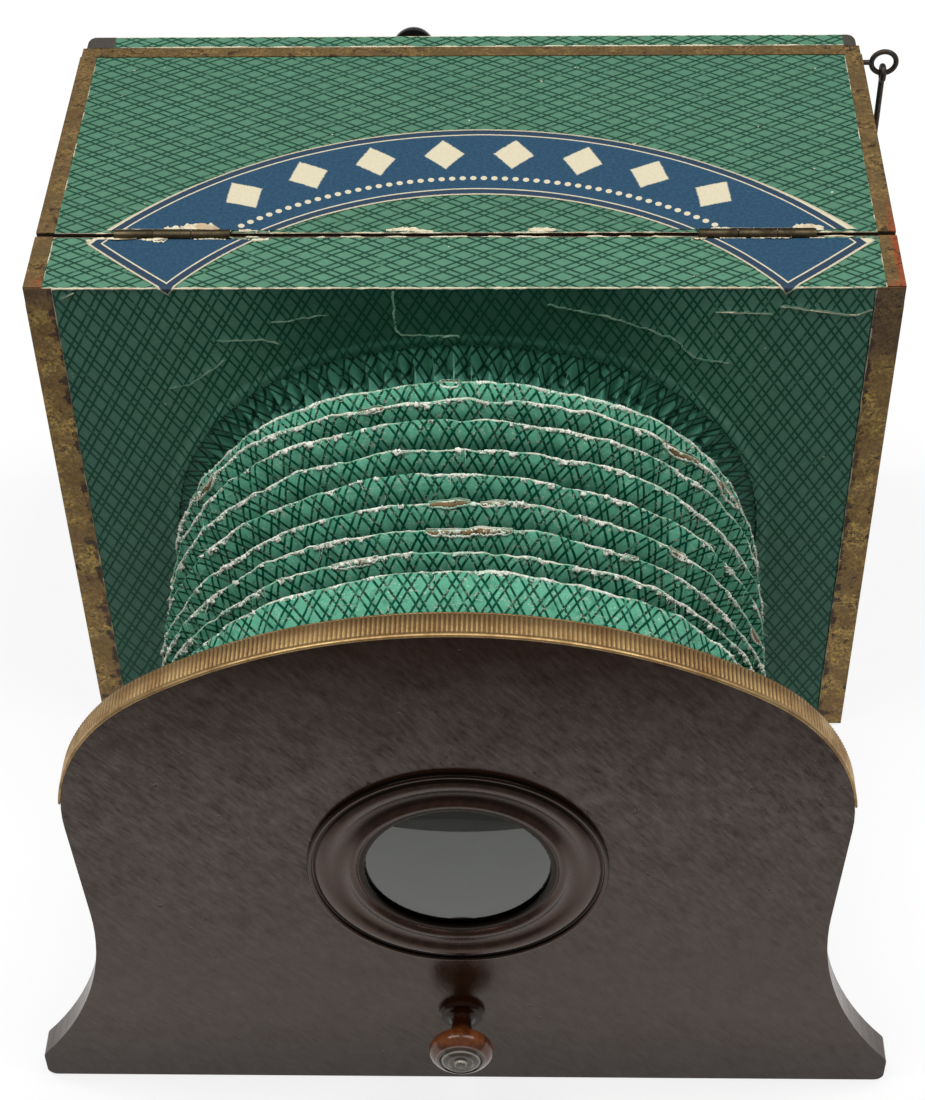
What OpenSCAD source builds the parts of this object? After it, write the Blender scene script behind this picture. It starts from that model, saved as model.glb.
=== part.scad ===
// Paper peep-show viewer: a paper-covered wooden box with a front-hinged lid
// and a drop-down back door, joined by a paper bellows to a free-standing lens board.
// The frame's origin is the middle of the box's underside, +Y points to the back door.

/* [Box] */
// Width of the box across its sides
box_w = 220; // [204:1:250]
// Depth of the box from its front face to the back edges of its sides
box_d = 110; // [95:1:140]
// Height of the box to the top face of its lid
box_h = 164; // [160:1:190]
// Thickness of the side boards
side_t = 6; // [4:0.5:9]
// Thickness of the base board
base_t = 6; // [4:0.5:8]
// Thickness of the front board
front_t = 5; // [4:0.5:8]

/* [Lid] */
// Thickness of the lid and of the fixed rail ahead of it
lid_t = 5; // [4:0.5:8]
// Depth of the fixed rail along the top of the front
rail_d = 21; // [14:1:36]
// Room between the lid's back edge and the plane of the box's back
lid_back_gap = 0.3; // [0.2:0.1:1]
// Thickness of the reflecting paper under the lid
lining_t = 0.4; // [0.3:0.1:1]
// Margin round the reflecting paper
lining_margin = 3; // [2:0.5:10]

/* [Back door] */
// Thickness of the back door
door_t = 5.5; // [5:0.5:8]
// Gap between the door's inner face and the box
door_gap = 0.4; // [0.3:0.1:1]
// Radius of the door's two top corners
door_corner_r = 3; // [1:0.5:8]
// Widest diameter of the door's knob
door_knob_d = 12.6; // [11:0.2:18]
// How far the door's knob stands out
door_knob_len = 11.5; // [9.5:0.5:16]
// Sideways place of the door's knob
door_knob_x = -16.5; // [-60:0.5:60]
// Distance from the door's top edge down to the knob's axis
door_knob_drop = 7.5; // [6.5:0.5:40]
// Diameter of the peg that holds the door's knob
door_peg_d = 4; // [3:0.5:5]

/* [Hinges] */
// Length of each hinge
hinge_len = 30; // [22:1:36]
// Distance of each hinge's middle from the centre line
hinge_x = 75; // [45:1:82]
// Thickness of a hinge leaf
leaf_t = 0.7; // [0.5:0.1:1]
// Outside diameter of the hinge knuckles
knuckle_d = 3; // [2.6:0.1:4]
// Diameter of the hinge pins
hinge_pin_d = 1.5; // [1:0.1:1.9]

/* [View slot] */
// Depth of the slot that takes a framed view
view_slot_d = 8; // [5:0.5:14]
// Width of the stops ahead of the view
stop_w = 7; // [5:0.5:12]
// Thickness of the stops ahead of the view
stop_t = 6; // [4:0.5:10]

/* [Bellows] */
// Length of the drawn-out bellows from the box to the lens board
bellows_len = 116; // [90:1:150]
// Number of outward folds
fold_count = 9; // [6:1:14]
// Depth of each fold
fold_depth = 9.5; // [6:0.5:11]
// Thickness of the bellows paper, across the tube
paper_t = 0.9; // [0.6:0.1:1.5]
// Distance from the box to the first outward fold
first_fold = 13.5; // [8:0.5:18]
// Distance from the last outward fold to the lens board
last_fold = 30; // [10:1:34]
// How far the middle folds hang towards the lens board
fold_sway = 2.6; // [0:0.1:3]
// How far the folds bunch up towards both ends
fold_bunch = 2.4; // [0:0.1:3]
// Half of the bellows' width, over the outward folds
arch_half_w = 79; // [68:1:88]
// Height of the bellows' top at the box, over the outward folds
arch_top = 146; // [136:1:150]
// Radius of the arch's crown
arch_crown_r = 110; // [96:1:140]
// Radius of the arch's shoulders
arch_shoulder_r = 62; // [50:1:70]
// Height of the bellows' underside
arch_foot_z = 12; // [9:0.5:20]
// Radius of the bellows' bottom corners
arch_foot_r = 16; // [13:0.5:24]
// Rise of the bellows' top towards the lens board
front_rise = 4; // [0:0.5:6]
// Narrowing of the bellows' half width towards the lens board
front_narrow = 3; // [0:0.5:6]
// Thickness of the glued collars at the ends of the bellows
collar_t = 0.8; // [0.5:0.1:1.5]
// Width of the box's collar outside the folds
collar_lip = 2; // [1:0.5:5]

/* [Lens board] */
// Thickness of the lens board
board_t = 7; // [5:0.5:10]
// Height of the lens board
board_h = 168; // [162:1:180]
// Radius of the board's crown
board_crown_r = 124; // [110:1:150]
// Radius of the board's shoulders
board_shoulder_r = 50; // [40:1:60]
// Half width of the board at its shoulders
board_half_w = 90.6; // [86:0.2:98]
// Half width of the board at its waist
waist_half_w = 88.8; // [80:0.2:92]
// Height of the board's waist
waist_z = 66; // [50:1:76]
// Half width of the board across its feet
foot_half_w = 109; // [100:1:120]
// Height of the square end of each foot
foot_h = 9; // [6:0.5:14]
// Radius of each foot's two outer corners
foot_corner_r = 2.5; // [1:0.5:2.5]
// Thickness of the brass band round the board's arch
band_t = 0.6; // [0.4:0.1:1.2]
// Height at which the brass band ends
band_end_z = 112; // [60:1:125]

/* [Lens] */
// Height of the lens axis
lens_z = 88.5; // [80:0.5:96]
// Outside diameter of the turned lens ring
bezel_d = 70.8; // [66:0.2:84]
// Height of the lens ring's outer rim
bezel_h = 1.4; // [1.3:0.1:3]
// Clear opening in front of the lens
lens_open_d = 43.8; // [34:0.2:45]
// Diameter of the lens
lens_d = 48; // [46.5:0.5:50]
// Thickness of the lens at its edge
lens_edge_t = 2; // [1.5:0.1:2.5]
// Radius of each face of the lens
lens_face_r = 235; // [160:1:400]
// Depth of the lens's edge behind the board's front face
lens_recess = 0.3; // [0.2:0.1:1.2]
// Outside diameter of the lens ring's sleeve in the board
sleeve_d = 53; // [52:0.5:60]
// Thickness of the wire ring that holds the lens
retainer_t = 1.4; // [1:0.1:1.6]

/* [Pull knob] */
// Height of the pull knob's axis
pull_z = 30; // [20:0.5:40]
// Widest diameter of the pull knob
pull_ball_d = 16; // [13:0.5:22]
// Thickness of the pull knob's ball along its axis
pull_ball_t = 8.6; // [7:0.2:11]
// How far the pull knob stands out
pull_len = 16.2; // [15:0.2:22]
// Diameter of the pull knob's foot
pull_foot_d = 11.6; // [9:0.2:13]
// Diameter of the pull knob's neck
pull_neck_d = 4.8; // [4:0.2:7]
// Diameter of the pull knob's peg in the board
pull_peg_d = 4.6; // [3.6:0.2:6]

/* [Door hook] */
// Diameter of the hook's wire
hook_wire_d = 1.7; // [1.2:0.1:2]
// Length of the hook from its pivot to its bent end
hook_len = 22; // [16:0.5:30]
// Length of the hook's bent end, towards the box
hook_bend = 5.4; // [4:0.2:6]
// Diameter of the screw eye's wire
eye_wire_d = 1.5; // [1.2:0.1:2]
// Diameter of the screw eye's ring at the middle of its wire
eye_ring_d = 7; // [6:0.2:9]
// Distance of the screw eye's ring centre from the door's edge
eye_reach = 8.2; // [7:0.2:10]
// Distance from the door's top edge down to the screw eye
eye_drop = 7.5; // [5:0.5:20]
// Swing of the hook from hanging to its catch
latch_deg = 70; // [50:1:85]
// Diameter of the catch pin on the box's side
catch_d = 2.4; // [1.6:0.1:3]
// How far the catch pin stands out
catch_len = 5; // [4:0.2:6]
// Depth of the catch pin and the screw eye in the wood
wire_hold = 4; // [2:0.5:6]

/* [Gilt strips] */
// Thickness of the gilt edge strips
strip_t = 0.3; // [0.2:0.1:0.3]
// Width of the strips on the top of the box
strip_top_w = 4.4; // [3:0.2:8]
// Width of the strips on the front of the box
strip_front_w = 7; // [5:0.2:12]
// Width of the strips on the sides of the box
strip_side_w = 5; // [3:0.2:10]

/* [Fits] */
// Clearance of hinge pins in their knuckles, on the radius
pin_clear = 0.05; // [0.03:0.01:0.1]
// Clearance of pegs, sleeves and the lens in their seats, on the radius
seat_clear = 0.05; // [0.03:0.01:0.1]
// Clearance between moving pieces that don't touch
move_clear = 0.3; // [0.2:0.05:0.5]

/* [Hidden] */
$fn = 64;

PAPER = [0.16, 0.36, 0.27];
BELLOWS_PAPER = [0.24, 0.48, 0.37];
GILT = [0.52, 0.41, 0.22];
MAHOGANY = [0.30, 0.21, 0.17];
TURNED = [0.36, 0.22, 0.16];
BRASS = [0.62, 0.48, 0.26];
IRON = [0.22, 0.2, 0.18];
BLACK = [0.06, 0.06, 0.06];
CREAM = [0.88, 0.85, 0.78];
GLASS = [0.75, 0.8, 0.82, 0.5];

// Planes of the box
half_w = box_w / 2;
front_y = -box_d / 2;
back_y = box_d / 2;
wall_top = box_h - lid_t;
inner_half_w = half_w - side_t;
rail_back_y = front_y + rail_d;

// Hinge gaps and axes
hinge_gap = 2 * leaf_t + move_clear;
lid_front_y = rail_back_y + hinge_gap;
lid_back_y = back_y - lid_back_gap;
lid_axis = [0, rail_back_y + hinge_gap / 2, box_h];
door_in_y = back_y + door_gap;
door_out_y = door_in_y + door_t;
door_bottom = base_t + hinge_gap;
door_axis = [0, door_out_y, base_t + hinge_gap / 2];
knuckles = 3;

// View slot and stops
stop_back_y = back_y - view_slot_d;
stop_front_y = stop_back_y - stop_t;
stop_top = wall_top - lining_t - move_clear;

// Planes of the lens board
board_back_y = front_y - bellows_len;
board_front_y = board_back_y - board_t;

// Points on an arc about c, from angle a0 to angle a1 in n steps
function arc(c, r, a0, a1, n) =
  [for (i = [0:n]) c + r * [cos(a0 + (a1 - a0) * i / n), sin(a0 + (a1 - a0) * i / n)]];

// Points on a curve from a to b that bends towards c
function bend(a, c, b, n) =
  [for (i = [0:n]) let (t = i / n) (1 - t) * (1 - t) * a + 2 * t * (1 - t) * c + t * t * b];

function tail(points) = [for (i = [1:len(points) - 1]) points[i]];

function mirrored(points) = [for (i = [len(points) - 1:-1:0]) [-points[i][0], points[i][1]]];

// Outline of the lens board, moved out by off
board_crown_c = [0, board_h - board_crown_r];
board_shoulder_x = board_half_w - board_shoulder_r;
board_shoulder_c = [
  board_shoulder_x,
  board_crown_c[1] + sqrt(pow(board_crown_r - board_shoulder_r, 2) - pow(board_shoulder_x, 2))
];
foot_out = foot_half_w - waist_half_w;
waist_r = (foot_out * foot_out + pow(waist_z - foot_h, 2)) / (2 * foot_out);
waist_c = [waist_half_w + waist_r, waist_z];
to_waist = waist_c - board_shoulder_c;
side_turn = atan2(to_waist[1], to_waist[0])
  + acos((board_shoulder_r + waist_r) / norm(to_waist));
crown_turn = atan2(board_shoulder_c[1] - board_crown_c[1], board_shoulder_x);
tip_x = foot_half_w - foot_corner_r;
tip_c = [tip_x, waist_z - sqrt(pow(waist_r + foot_corner_r, 2) - pow(waist_c[0] - tip_x, 2))];
tip_turn = atan2(waist_z - tip_c[1], waist_c[0] - tip_x);

function board_half(off) = concat(
  arc([tip_x, foot_corner_r], foot_corner_r, -90, 0, 6),
  arc(tip_c, foot_corner_r, 0, tip_turn, 6),
  tail(arc(waist_c, waist_r - off, 180 + tip_turn, 180 + side_turn, 16)),
  arc(board_shoulder_c, board_shoulder_r + off, side_turn, crown_turn, 16),
  arc(board_crown_c, board_crown_r + off, crown_turn, 90, 12)
);

module board_shape(off) {
  right = board_half(off);
  polygon(concat(right, mirrored([for (i = [0:len(right) - 2]) right[i]])));
}

// Cross-section of the bellows: an arch with a flat foot, moved out by off
// at the share t of the way from the box to the lens board
function section_half(off, t) =
  let (
    hw = arch_half_w - front_narrow * t,
    crown_c = [0, arch_top + front_rise * t - arch_crown_r],
    sx = hw - arch_shoulder_r,
    sz = crown_c[1] + sqrt(pow(arch_crown_r - arch_shoulder_r, 2) - sx * sx),
    turn = atan2(sz - crown_c[1], sx),
    crown = arc(crown_c, arch_crown_r + off, turn, 90, 6)
  )
  concat(
    arc([hw - arch_foot_r, arch_foot_z + arch_foot_r], arch_foot_r + off, -90, 0, 4),
    arc([sx, sz], arch_shoulder_r + off, 0, turn, 10),
    [for (i = [1:5]) crown[i]]
  );

function section(off, t) =
  let (right = section_half(off, t), top = [0, arch_top + front_rise * t + off])
  concat(right, [top], mirrored(right));

// Stations along the bellows: distance from the box and how far out the paper is
fold_span = bellows_len - first_fold - last_fold;
function fold_at(i) =
  let (u = i / (fold_count - 1))
  first_fold + fold_span * u + fold_sway * sin(180 * u) - fold_bunch * sin(360 * u);
folds = [for (i = [0:fold_count - 1]) fold_at(i)];
stations = concat(
  [[collar_t, -fold_depth]],
  [for (i = [0:fold_count - 1], outward = [1, 0])
    if (outward == 1 || i < fold_count - 1)
      outward == 1 ? [folds[i], 0] : [(folds[i] + folds[i + 1]) / 2, -fold_depth]],
  [[bellows_len - collar_t, -fold_depth]]
);

function ring(station, inset) =
  [for (p = section(station[1] - inset, station[0] / bellows_len))
    [p[0], front_y - station[0], p[1]]];

// Triangles between ring a and ring b of n points each
function skin(a, b, n) =
  [for (j = [0:n - 1], half = [0, 1])
    let (k = (j + 1) % n)
    half == 0 ? [a * n + j, a * n + k, b * n + k] : [a * n + j, b * n + k, b * n + j]];

module bellows_tube() {
  m = len(stations);
  n = len(section(0, 0));
  outside = [for (s = stations) each ring(s, 0)];
  inside = [for (s = stations) each ring(s, paper_t)];
  faces = concat(
    [for (i = [0:m - 2]) each skin(i, i + 1, n)],
    [for (i = [0:m - 2]) each skin(m + i + 1, m + i, n)],
    skin(m, 0, n),
    skin(m - 1, 2 * m - 1, n)
  );
  polyhedron(points = concat(outside, inside), faces = faces);
}

// A flat plate in the XZ plane with its front face at y, reaching back by t
module upright(y, t) {
  translate([0, y + t, 0]) rotate([90, 0, 0]) linear_extrude(t) children();
}

// Turns a profile of radius and height about an axis that points to the front
module turned(x, y, z) {
  translate([x, y, z]) rotate([90, 0, 0]) rotate_extrude($fn = 96) children();
}

module board_between(low, high) {
  translate(low) cube(high - low);
}

// Hinges, drawn with the pin along X and the leaf hanging down
module at_hinges() {
  for (x = [-hinge_x, hinge_x]) translate([x, 0, 0]) children();
}

module along_pin(slot, spare) {
  slot_len = hinge_len / knuckles;
  translate([(slot - knuckles / 2) * slot_len - spare, 0, 0])
    rotate([0, 90, 0]) linear_extrude(slot_len + 2 * spare) children();
}

module hinge_leaf(side, width, own, other) {
  difference() {
    union() {
      translate([-hinge_len / 2, side * (move_clear + leaf_t) / 2 - leaf_t / 2, -width])
        cube([hinge_len, leaf_t, width]);
      for (slot = own) along_pin(slot, -move_clear / 2) circle(d = knuckle_d);
    }
    for (slot = other) along_pin(slot, move_clear / 2) circle(d = knuckle_d + 2 * move_clear);
    for (slot = own) along_pin(slot, 0) circle(r = hinge_pin_d / 2 + pin_clear);
  }
}

module hinge_pin() {
  translate([-hinge_len / 2, 0, 0]) rotate([0, 90, 0]) cylinder(d = hinge_pin_d, h = hinge_len);
}

module hinge_relief() {
  translate([-hinge_len / 2 - move_clear, 0, 0]) rotate([0, 90, 0])
    cylinder(d = knuckle_d + 2 * move_clear, h = hinge_len + 2 * move_clear);
}

module at_lid_axis() {
  translate(lid_axis) at_hinges() children();
}

module at_door_axis() {
  translate(door_axis) at_hinges() rotate([-90, 0, 0]) children();
}

// Box
module base_board() {
  color(PAPER) difference() {
    board_between([-half_w, front_y, 0], [half_w, door_out_y, base_t]);
    at_door_axis() hinge_relief();
  }
}

module side_board(outer) {
  x0 = outer < 0 ? -half_w : inner_half_w;
  board_between([x0, front_y, base_t], [x0 + side_t, back_y, wall_top]);
}

module left_side() {
  color(PAPER) side_board(-1);
}

module right_side() {
  color(PAPER) difference() {
    side_board(1);
    translate(catch_at) rotate([0, 90, 0])
      translate([0, 0, -wire_hold]) cylinder(r = catch_d / 2 + seat_clear, h = wire_hold + 1);
  }
}

module front_board() {
  color(PAPER) upright(front_y, front_t) difference() {
    translate([-inner_half_w, base_t]) square([2 * inner_half_w, wall_top - base_t]);
    polygon(section(-fold_depth - paper_t, 0));
  }
}

module top_rail() {
  color(PAPER) difference() {
    board_between([-half_w, front_y, wall_top], [half_w, rail_back_y, box_h]);
    at_lid_axis() hinge_relief();
  }
}

module view_stop(outer) {
  x0 = outer < 0 ? -inner_half_w : inner_half_w - stop_w;
  board_between([x0, stop_front_y, base_t], [x0 + stop_w, stop_back_y, stop_top]);
}

module view_stop_left() {
  color(BLACK) view_stop(-1);
}

module view_stop_right() {
  color(BLACK) view_stop(1);
}

module view_sill() {
  reach = inner_half_w - stop_w;
  color(BLACK)
    board_between([-reach, stop_front_y, base_t], [reach, stop_back_y, base_t + stop_w]);
}

// Lid
module lid() {
  color(PAPER) difference() {
    board_between([-half_w, lid_front_y, wall_top], [half_w, lid_back_y, box_h]);
    at_lid_axis() hinge_relief();
  }
}

module lid_lining() {
  reach = inner_half_w - lining_margin;
  color(CREAM) board_between(
    [-reach, lid_front_y + lining_margin, wall_top - lining_t],
    [reach, stop_front_y - lining_margin, wall_top]
  );
}

// Back door
module back_door() {
  c = [half_w - door_corner_r, box_h - door_corner_r];
  right = concat([[half_w, door_bottom]], arc(c, door_corner_r, 0, 90, 8));
  color(PAPER) difference() {
    upright(door_in_y, door_t) polygon(concat(right, mirrored(right)));
    at_door_axis() hinge_relief();
    translate([door_knob_x, door_out_y, box_h - door_knob_drop]) rotate([90, 0, 0])
      cylinder(r = door_peg_d / 2 + seat_clear, h = door_t - 1);
    translate(eye_seat) rotate([0, 90, 0])
      translate([0, 0, -wire_hold]) cylinder(r = eye_wire_d / 2 + seat_clear, h = wire_hold + 1);
  }
}

// A domed knob on a short neck
module door_knob() {
  r = door_knob_d / 2;
  rose_r = 0.72 * r;
  neck_r = 0.45 * r;
  neck_h = door_knob_len - r;
  peg = door_t - 1 - seat_clear;
  profile = concat(
    [[0, -peg], [door_peg_d / 2, -peg], [door_peg_d / 2, 0], [rose_r, 0], [rose_r, 1]],
    bend([neck_r, 1.6], [neck_r, neck_h - 0.6], [0.8 * r, neck_h - 0.4], 8),
    arc([0, neck_h], r, 0, 90, 12)
  );
  color(BLACK) translate([door_knob_x, door_out_y, box_h - door_knob_drop])
    rotate([-90, 0, 0]) rotate_extrude() polygon(profile);
}

// Hinge pieces
fixed_slots = [0, 2];
moving_slots = [1];

module lid_hinge_rail_leaves() {
  color(BRASS) at_lid_axis() hinge_leaf(-1, lid_t, fixed_slots, moving_slots);
}

module lid_hinge_lid_leaves() {
  color(BRASS) at_lid_axis() hinge_leaf(1, lid_t, moving_slots, fixed_slots);
}

module lid_hinge_pins() {
  color(BRASS) at_lid_axis() hinge_pin();
}

module door_hinge_base_leaves() {
  color(BRASS) at_door_axis() hinge_leaf(1, door_t, fixed_slots, moving_slots);
}

module door_hinge_door_leaves() {
  color(BRASS) at_door_axis() hinge_leaf(-1, door_t, moving_slots, fixed_slots);
}

module door_hinge_pins() {
  color(BRASS) at_door_axis() hinge_pin();
}

// Hook on the door's right edge and its catch on the box's side
eye_seat = [half_w, door_in_y + door_t / 2, box_h - eye_drop];
hook_pivot = eye_seat + [eye_reach, 0, -eye_ring_d / 2];
hook_loop_d = eye_wire_d + hook_wire_d + 2 * move_clear;
catch_out = (hook_wire_d + catch_d) / 2 + move_clear;
catch_at = [half_w, 0, 0] + [
  0,
  hook_pivot[1] - (hook_len - catch_out) * sin(latch_deg),
  hook_pivot[2] - (hook_len - catch_out) * cos(latch_deg)
];

module wire_ring(ring_d, wire_d) {
  rotate_extrude() translate([ring_d / 2, 0]) circle(d = wire_d);
}

module hook_eye() {
  stem = eye_reach - eye_ring_d / 2;
  color(IRON) translate(eye_seat) {
    translate([-wire_hold + seat_clear, 0, 0]) rotate([0, 90, 0])
      cylinder(d = eye_wire_d, h = wire_hold + stem);
    translate([eye_reach, 0, 0]) rotate([90, 0, 0]) wire_ring(eye_ring_d, eye_wire_d);
  }
}

module hook() {
  shank = hook_len - hook_loop_d / 2;
  color(IRON) translate(hook_pivot) {
    rotate([0, 90, 0]) wire_ring(hook_loop_d, hook_wire_d);
    translate([0, 0, -hook_len]) cylinder(d = hook_wire_d, h = shank);
    translate([0, 0, -hook_len]) sphere(d = hook_wire_d);
    translate([-hook_bend, 0, -hook_len]) rotate([0, 90, 0])
      cylinder(d = hook_wire_d, h = hook_bend);
  }
}

module catch_pin() {
  color(BRASS) translate(catch_at) rotate([0, 90, 0])
    translate([0, 0, -wire_hold + seat_clear]) cylinder(d = catch_d, h = wire_hold + catch_len);
}

// Bellows and its glued collars
module bellows() {
  color(BELLOWS_PAPER) bellows_tube();
}

module bellows_box_collar() {
  color(BELLOWS_PAPER) upright(front_y - collar_t, collar_t) difference() {
    polygon(section(collar_lip, 0));
    polygon(section(-fold_depth - paper_t, 0));
  }
}

module bellows_board_collar() {
  color(BELLOWS_PAPER) upright(board_back_y, collar_t) difference() {
    polygon(section(0, 1));
    polygon(section(-fold_depth - paper_t, 1));
  }
}

// Lens board
module lens_board() {
  color(MAHOGANY) difference() {
    upright(board_front_y, board_t) difference() {
      board_shape(0);
      translate([0, lens_z]) circle(r = sleeve_d / 2 + seat_clear);
    }
    translate([0, board_front_y, pull_z]) rotate([-90, 0, 0])
      cylinder(r = pull_peg_d / 2 + seat_clear, h = board_t - 1);
  }
}

module brass_band() {
  color(BRASS) upright(board_front_y, board_t) intersection() {
    difference() {
      board_shape(band_t);
      board_shape(0);
    }
    translate([-foot_half_w, band_end_z]) square([2 * foot_half_w, board_h + band_t]);
  }
}

// Turned ring: outer rim, quirk, low swell, hollow and inner bead round the opening
module lens_ring() {
  out_r = bezel_d / 2;
  open_r = lens_open_d / 2;
  seat_r = lens_d / 2 + seat_clear;
  rim = 0.6;
  quirk_h = bezel_h - 0.7;
  swell_out = out_r - 2 * rim - 0.6;
  bead = 1.4;
  bead_turn = 55;
  bead_out = [open_r + 3.7, bezel_h - 0.1];
  bead_c = bead_out - bead * [cos(bead_turn), sin(bead_turn)];
  step = (swell_out - bead_out[0]) / 4;
  between = [swell_out - 2 * step, quirk_h + 0.2];
  fall = [step, 1];
  profile = concat(
    [[sleeve_d / 2, -board_t], [sleeve_d / 2, 0], [out_r, 0]],
    arc([out_r - rim, bezel_h - rim], rim, 0, 180, 10),
    [[out_r - 2 * rim, quirk_h]],
    bend([swell_out, quirk_h], between + fall, between, 8),
    tail(bend(between, between - fall, bead_out, 8)),
    tail(arc(bead_c, bead, bead_turn, 160, 8)),
    [[open_r + 0.5, 0.6], [open_r, 0.4], [open_r, -lens_recess], [seat_r, -lens_recess], [seat_r, -board_t]]
  );
  color(TURNED) turned(0, board_front_y, lens_z) polygon(profile);
}

// The domed lens bears on the edge of the opening and on the wire ring behind it
function dome_rise(r) =
  sqrt(pow(lens_face_r, 2) - r * r) - sqrt(pow(lens_face_r, 2) - pow(lens_d / 2, 2));
lens_front_h = -lens_recess - dome_rise(lens_open_d / 2) - seat_clear;
lens_back_h = lens_front_h - lens_edge_t;
retainer_r = lens_open_d / 2 + 0.8;
retainer_h = lens_back_h - dome_rise(retainer_r) - seat_clear;

module lens() {
  dome = asin(lens_d / 2 / lens_face_r);
  drop = lens_face_r * cos(dome);
  profile = concat(
    arc([0, lens_back_h + drop], lens_face_r, -90, -90 + dome, 8),
    arc([0, lens_front_h - drop], lens_face_r, 90 - dome, 90, 8)
  );
  color(GLASS) turned(0, board_front_y, lens_z) polygon(profile);
}

module lens_retainer() {
  color(BRASS) turned(0, board_front_y, lens_z)
    translate([retainer_r, retainer_h - retainer_t]) square([lens_d / 2 - retainer_r, retainer_t]);
}

// Turned pull knob: foot, neck and a flattened ball with a ringed end
module pull_knob() {
  r = pull_ball_d / 2;
  half_t = pull_ball_t / 2;
  neck_r = pull_neck_d / 2;
  foot_r = pull_foot_d / 2;
  face_r = 0.68 * r;
  ring_r = 0.42 * r;
  button_r = 0.2 * r;
  cut = 0.35;
  peg = board_t - 1 - seat_clear;
  face_turn = acos(face_r / r);
  neck_turn = -acos((neck_r + 0.5) / r);
  face_h = pull_len - 4 * cut;
  ball_h = face_h - half_t * sin(face_turn);
  ball = [for (p = arc([0, 0], 1, neck_turn, face_turn, 18)) [r * p[0], ball_h + half_t * p[1]]];
  profile = concat(
    [[0, -peg], [pull_peg_d / 2, -peg], [pull_peg_d / 2, 0], [foot_r, 0], [foot_r, 1]],
    bend([foot_r - 0.7, 1.7], [neck_r, 1.7], [neck_r, 3.4], 5),
    ball,
    [[face_r - cut, face_h - cut]],
    bend([face_r - 2 * cut, face_h], [ring_r + cut, pull_len - 2 * cut], [ring_r, pull_len - 2 * cut], 4),
    [[ring_r - cut, pull_len - 3 * cut], [button_r + cut, pull_len - 3 * cut]],
    bend([button_r, pull_len - 2 * cut], [button_r, pull_len], [0, pull_len], 4)
  );
  color(TURNED) turned(0, board_front_y, pull_z) polygon(profile);
}

// Gilt strips folded over the edges of the box
module gilt_front(outer) {
  mirror([outer < 0 ? 1 : 0, 0, 0]) {
    board_between([half_w - strip_front_w, front_y - strip_t, 0], [half_w, front_y, box_h]);
    board_between(
      [half_w, front_y - strip_t, 0], [half_w + strip_t, front_y + strip_side_w, box_h - strip_side_w]);
  }
}

module gilt_edge(outer, y0, y1, drop) {
  mirror([outer < 0 ? 1 : 0, 0, 0]) {
    board_between([half_w - strip_top_w, y0, box_h], [half_w, y1, box_h + strip_t]);
    board_between([half_w, y0, box_h - drop], [half_w + strip_t, y1, box_h + strip_t]);
  }
}

module gilt_front_left() {
  color(GILT) gilt_front(-1);
}

module gilt_front_right() {
  color(GILT) gilt_front(1);
}

module gilt_rail_left() {
  color(GILT) gilt_edge(-1, front_y, rail_back_y, strip_side_w);
}

module gilt_rail_right() {
  color(GILT) gilt_edge(1, front_y, rail_back_y, strip_side_w);
}

module gilt_lid_left() {
  color(GILT) gilt_edge(-1, lid_front_y, lid_back_y - strip_top_w, lid_t);
}

module gilt_lid_right() {
  color(GILT) gilt_edge(1, lid_front_y, lid_back_y - strip_top_w, lid_t);
}

module gilt_lid_back() {
  color(GILT) board_between(
    [-half_w, lid_back_y - strip_top_w, box_h], [half_w, lid_back_y, box_h + strip_t]);
}

base_board();
left_side();
right_side();
front_board();
top_rail();
view_stop_left();
view_stop_right();
view_sill();
lid();
lid_lining();
back_door();
door_knob();
lid_hinge_rail_leaves();
lid_hinge_lid_leaves();
lid_hinge_pins();
door_hinge_base_leaves();
door_hinge_door_leaves();
door_hinge_pins();
hook_eye();
hook();
catch_pin();
bellows();
bellows_box_collar();
bellows_board_collar();
lens_board();
brass_band();
lens_ring();
lens();
lens_retainer();
pull_knob();
gilt_front_left();
gilt_front_right();
gilt_rail_left();
gilt_rail_right();
gilt_lid_left();
gilt_lid_right();
gilt_lid_back();
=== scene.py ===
"""Looks of a paper peep-show viewer: printed paper, worn folds, turned wood and brass on the CAD frame."""

import math

import bmesh
import bpy
import numpy as np
from mathutils import Matrix, Vector, noise


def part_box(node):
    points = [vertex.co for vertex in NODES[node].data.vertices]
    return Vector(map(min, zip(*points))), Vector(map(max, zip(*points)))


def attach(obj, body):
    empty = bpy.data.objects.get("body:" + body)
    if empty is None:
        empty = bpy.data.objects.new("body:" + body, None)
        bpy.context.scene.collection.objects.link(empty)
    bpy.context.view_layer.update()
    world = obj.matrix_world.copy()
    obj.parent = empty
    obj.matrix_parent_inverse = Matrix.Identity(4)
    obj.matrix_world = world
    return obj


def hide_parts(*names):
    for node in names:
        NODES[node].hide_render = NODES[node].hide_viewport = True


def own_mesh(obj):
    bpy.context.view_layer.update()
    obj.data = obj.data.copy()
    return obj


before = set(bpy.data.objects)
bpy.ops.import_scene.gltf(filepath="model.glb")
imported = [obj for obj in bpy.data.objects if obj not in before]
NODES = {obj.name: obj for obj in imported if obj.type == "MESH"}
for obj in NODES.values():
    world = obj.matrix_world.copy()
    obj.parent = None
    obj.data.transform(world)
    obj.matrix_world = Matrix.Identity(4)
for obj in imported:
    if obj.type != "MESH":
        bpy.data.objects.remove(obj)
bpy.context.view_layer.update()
MM = 0.001

# Planes of the box and the lens board, from the frame
FRONT_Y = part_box("front_board")[0].y
TOP_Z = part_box("lid")[1].z
HALF_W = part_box("lid")[1].x
RAIL_BACK_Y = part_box("top_rail")[1].y
LID_FRONT_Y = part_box("lid")[0].y
LID_BACK_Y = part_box("lid")[1].y
HINGE_Y = (RAIL_BACK_Y + LID_FRONT_Y) / 2
BOARD_BACK_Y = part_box("lens_board")[1].y
BOARD_FRONT_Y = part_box("lens_board")[0].y
STRIP_TOP_X = HALF_W - 4.4 * MM
STRIP_FRONT_X = HALF_W - 7 * MM

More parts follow.
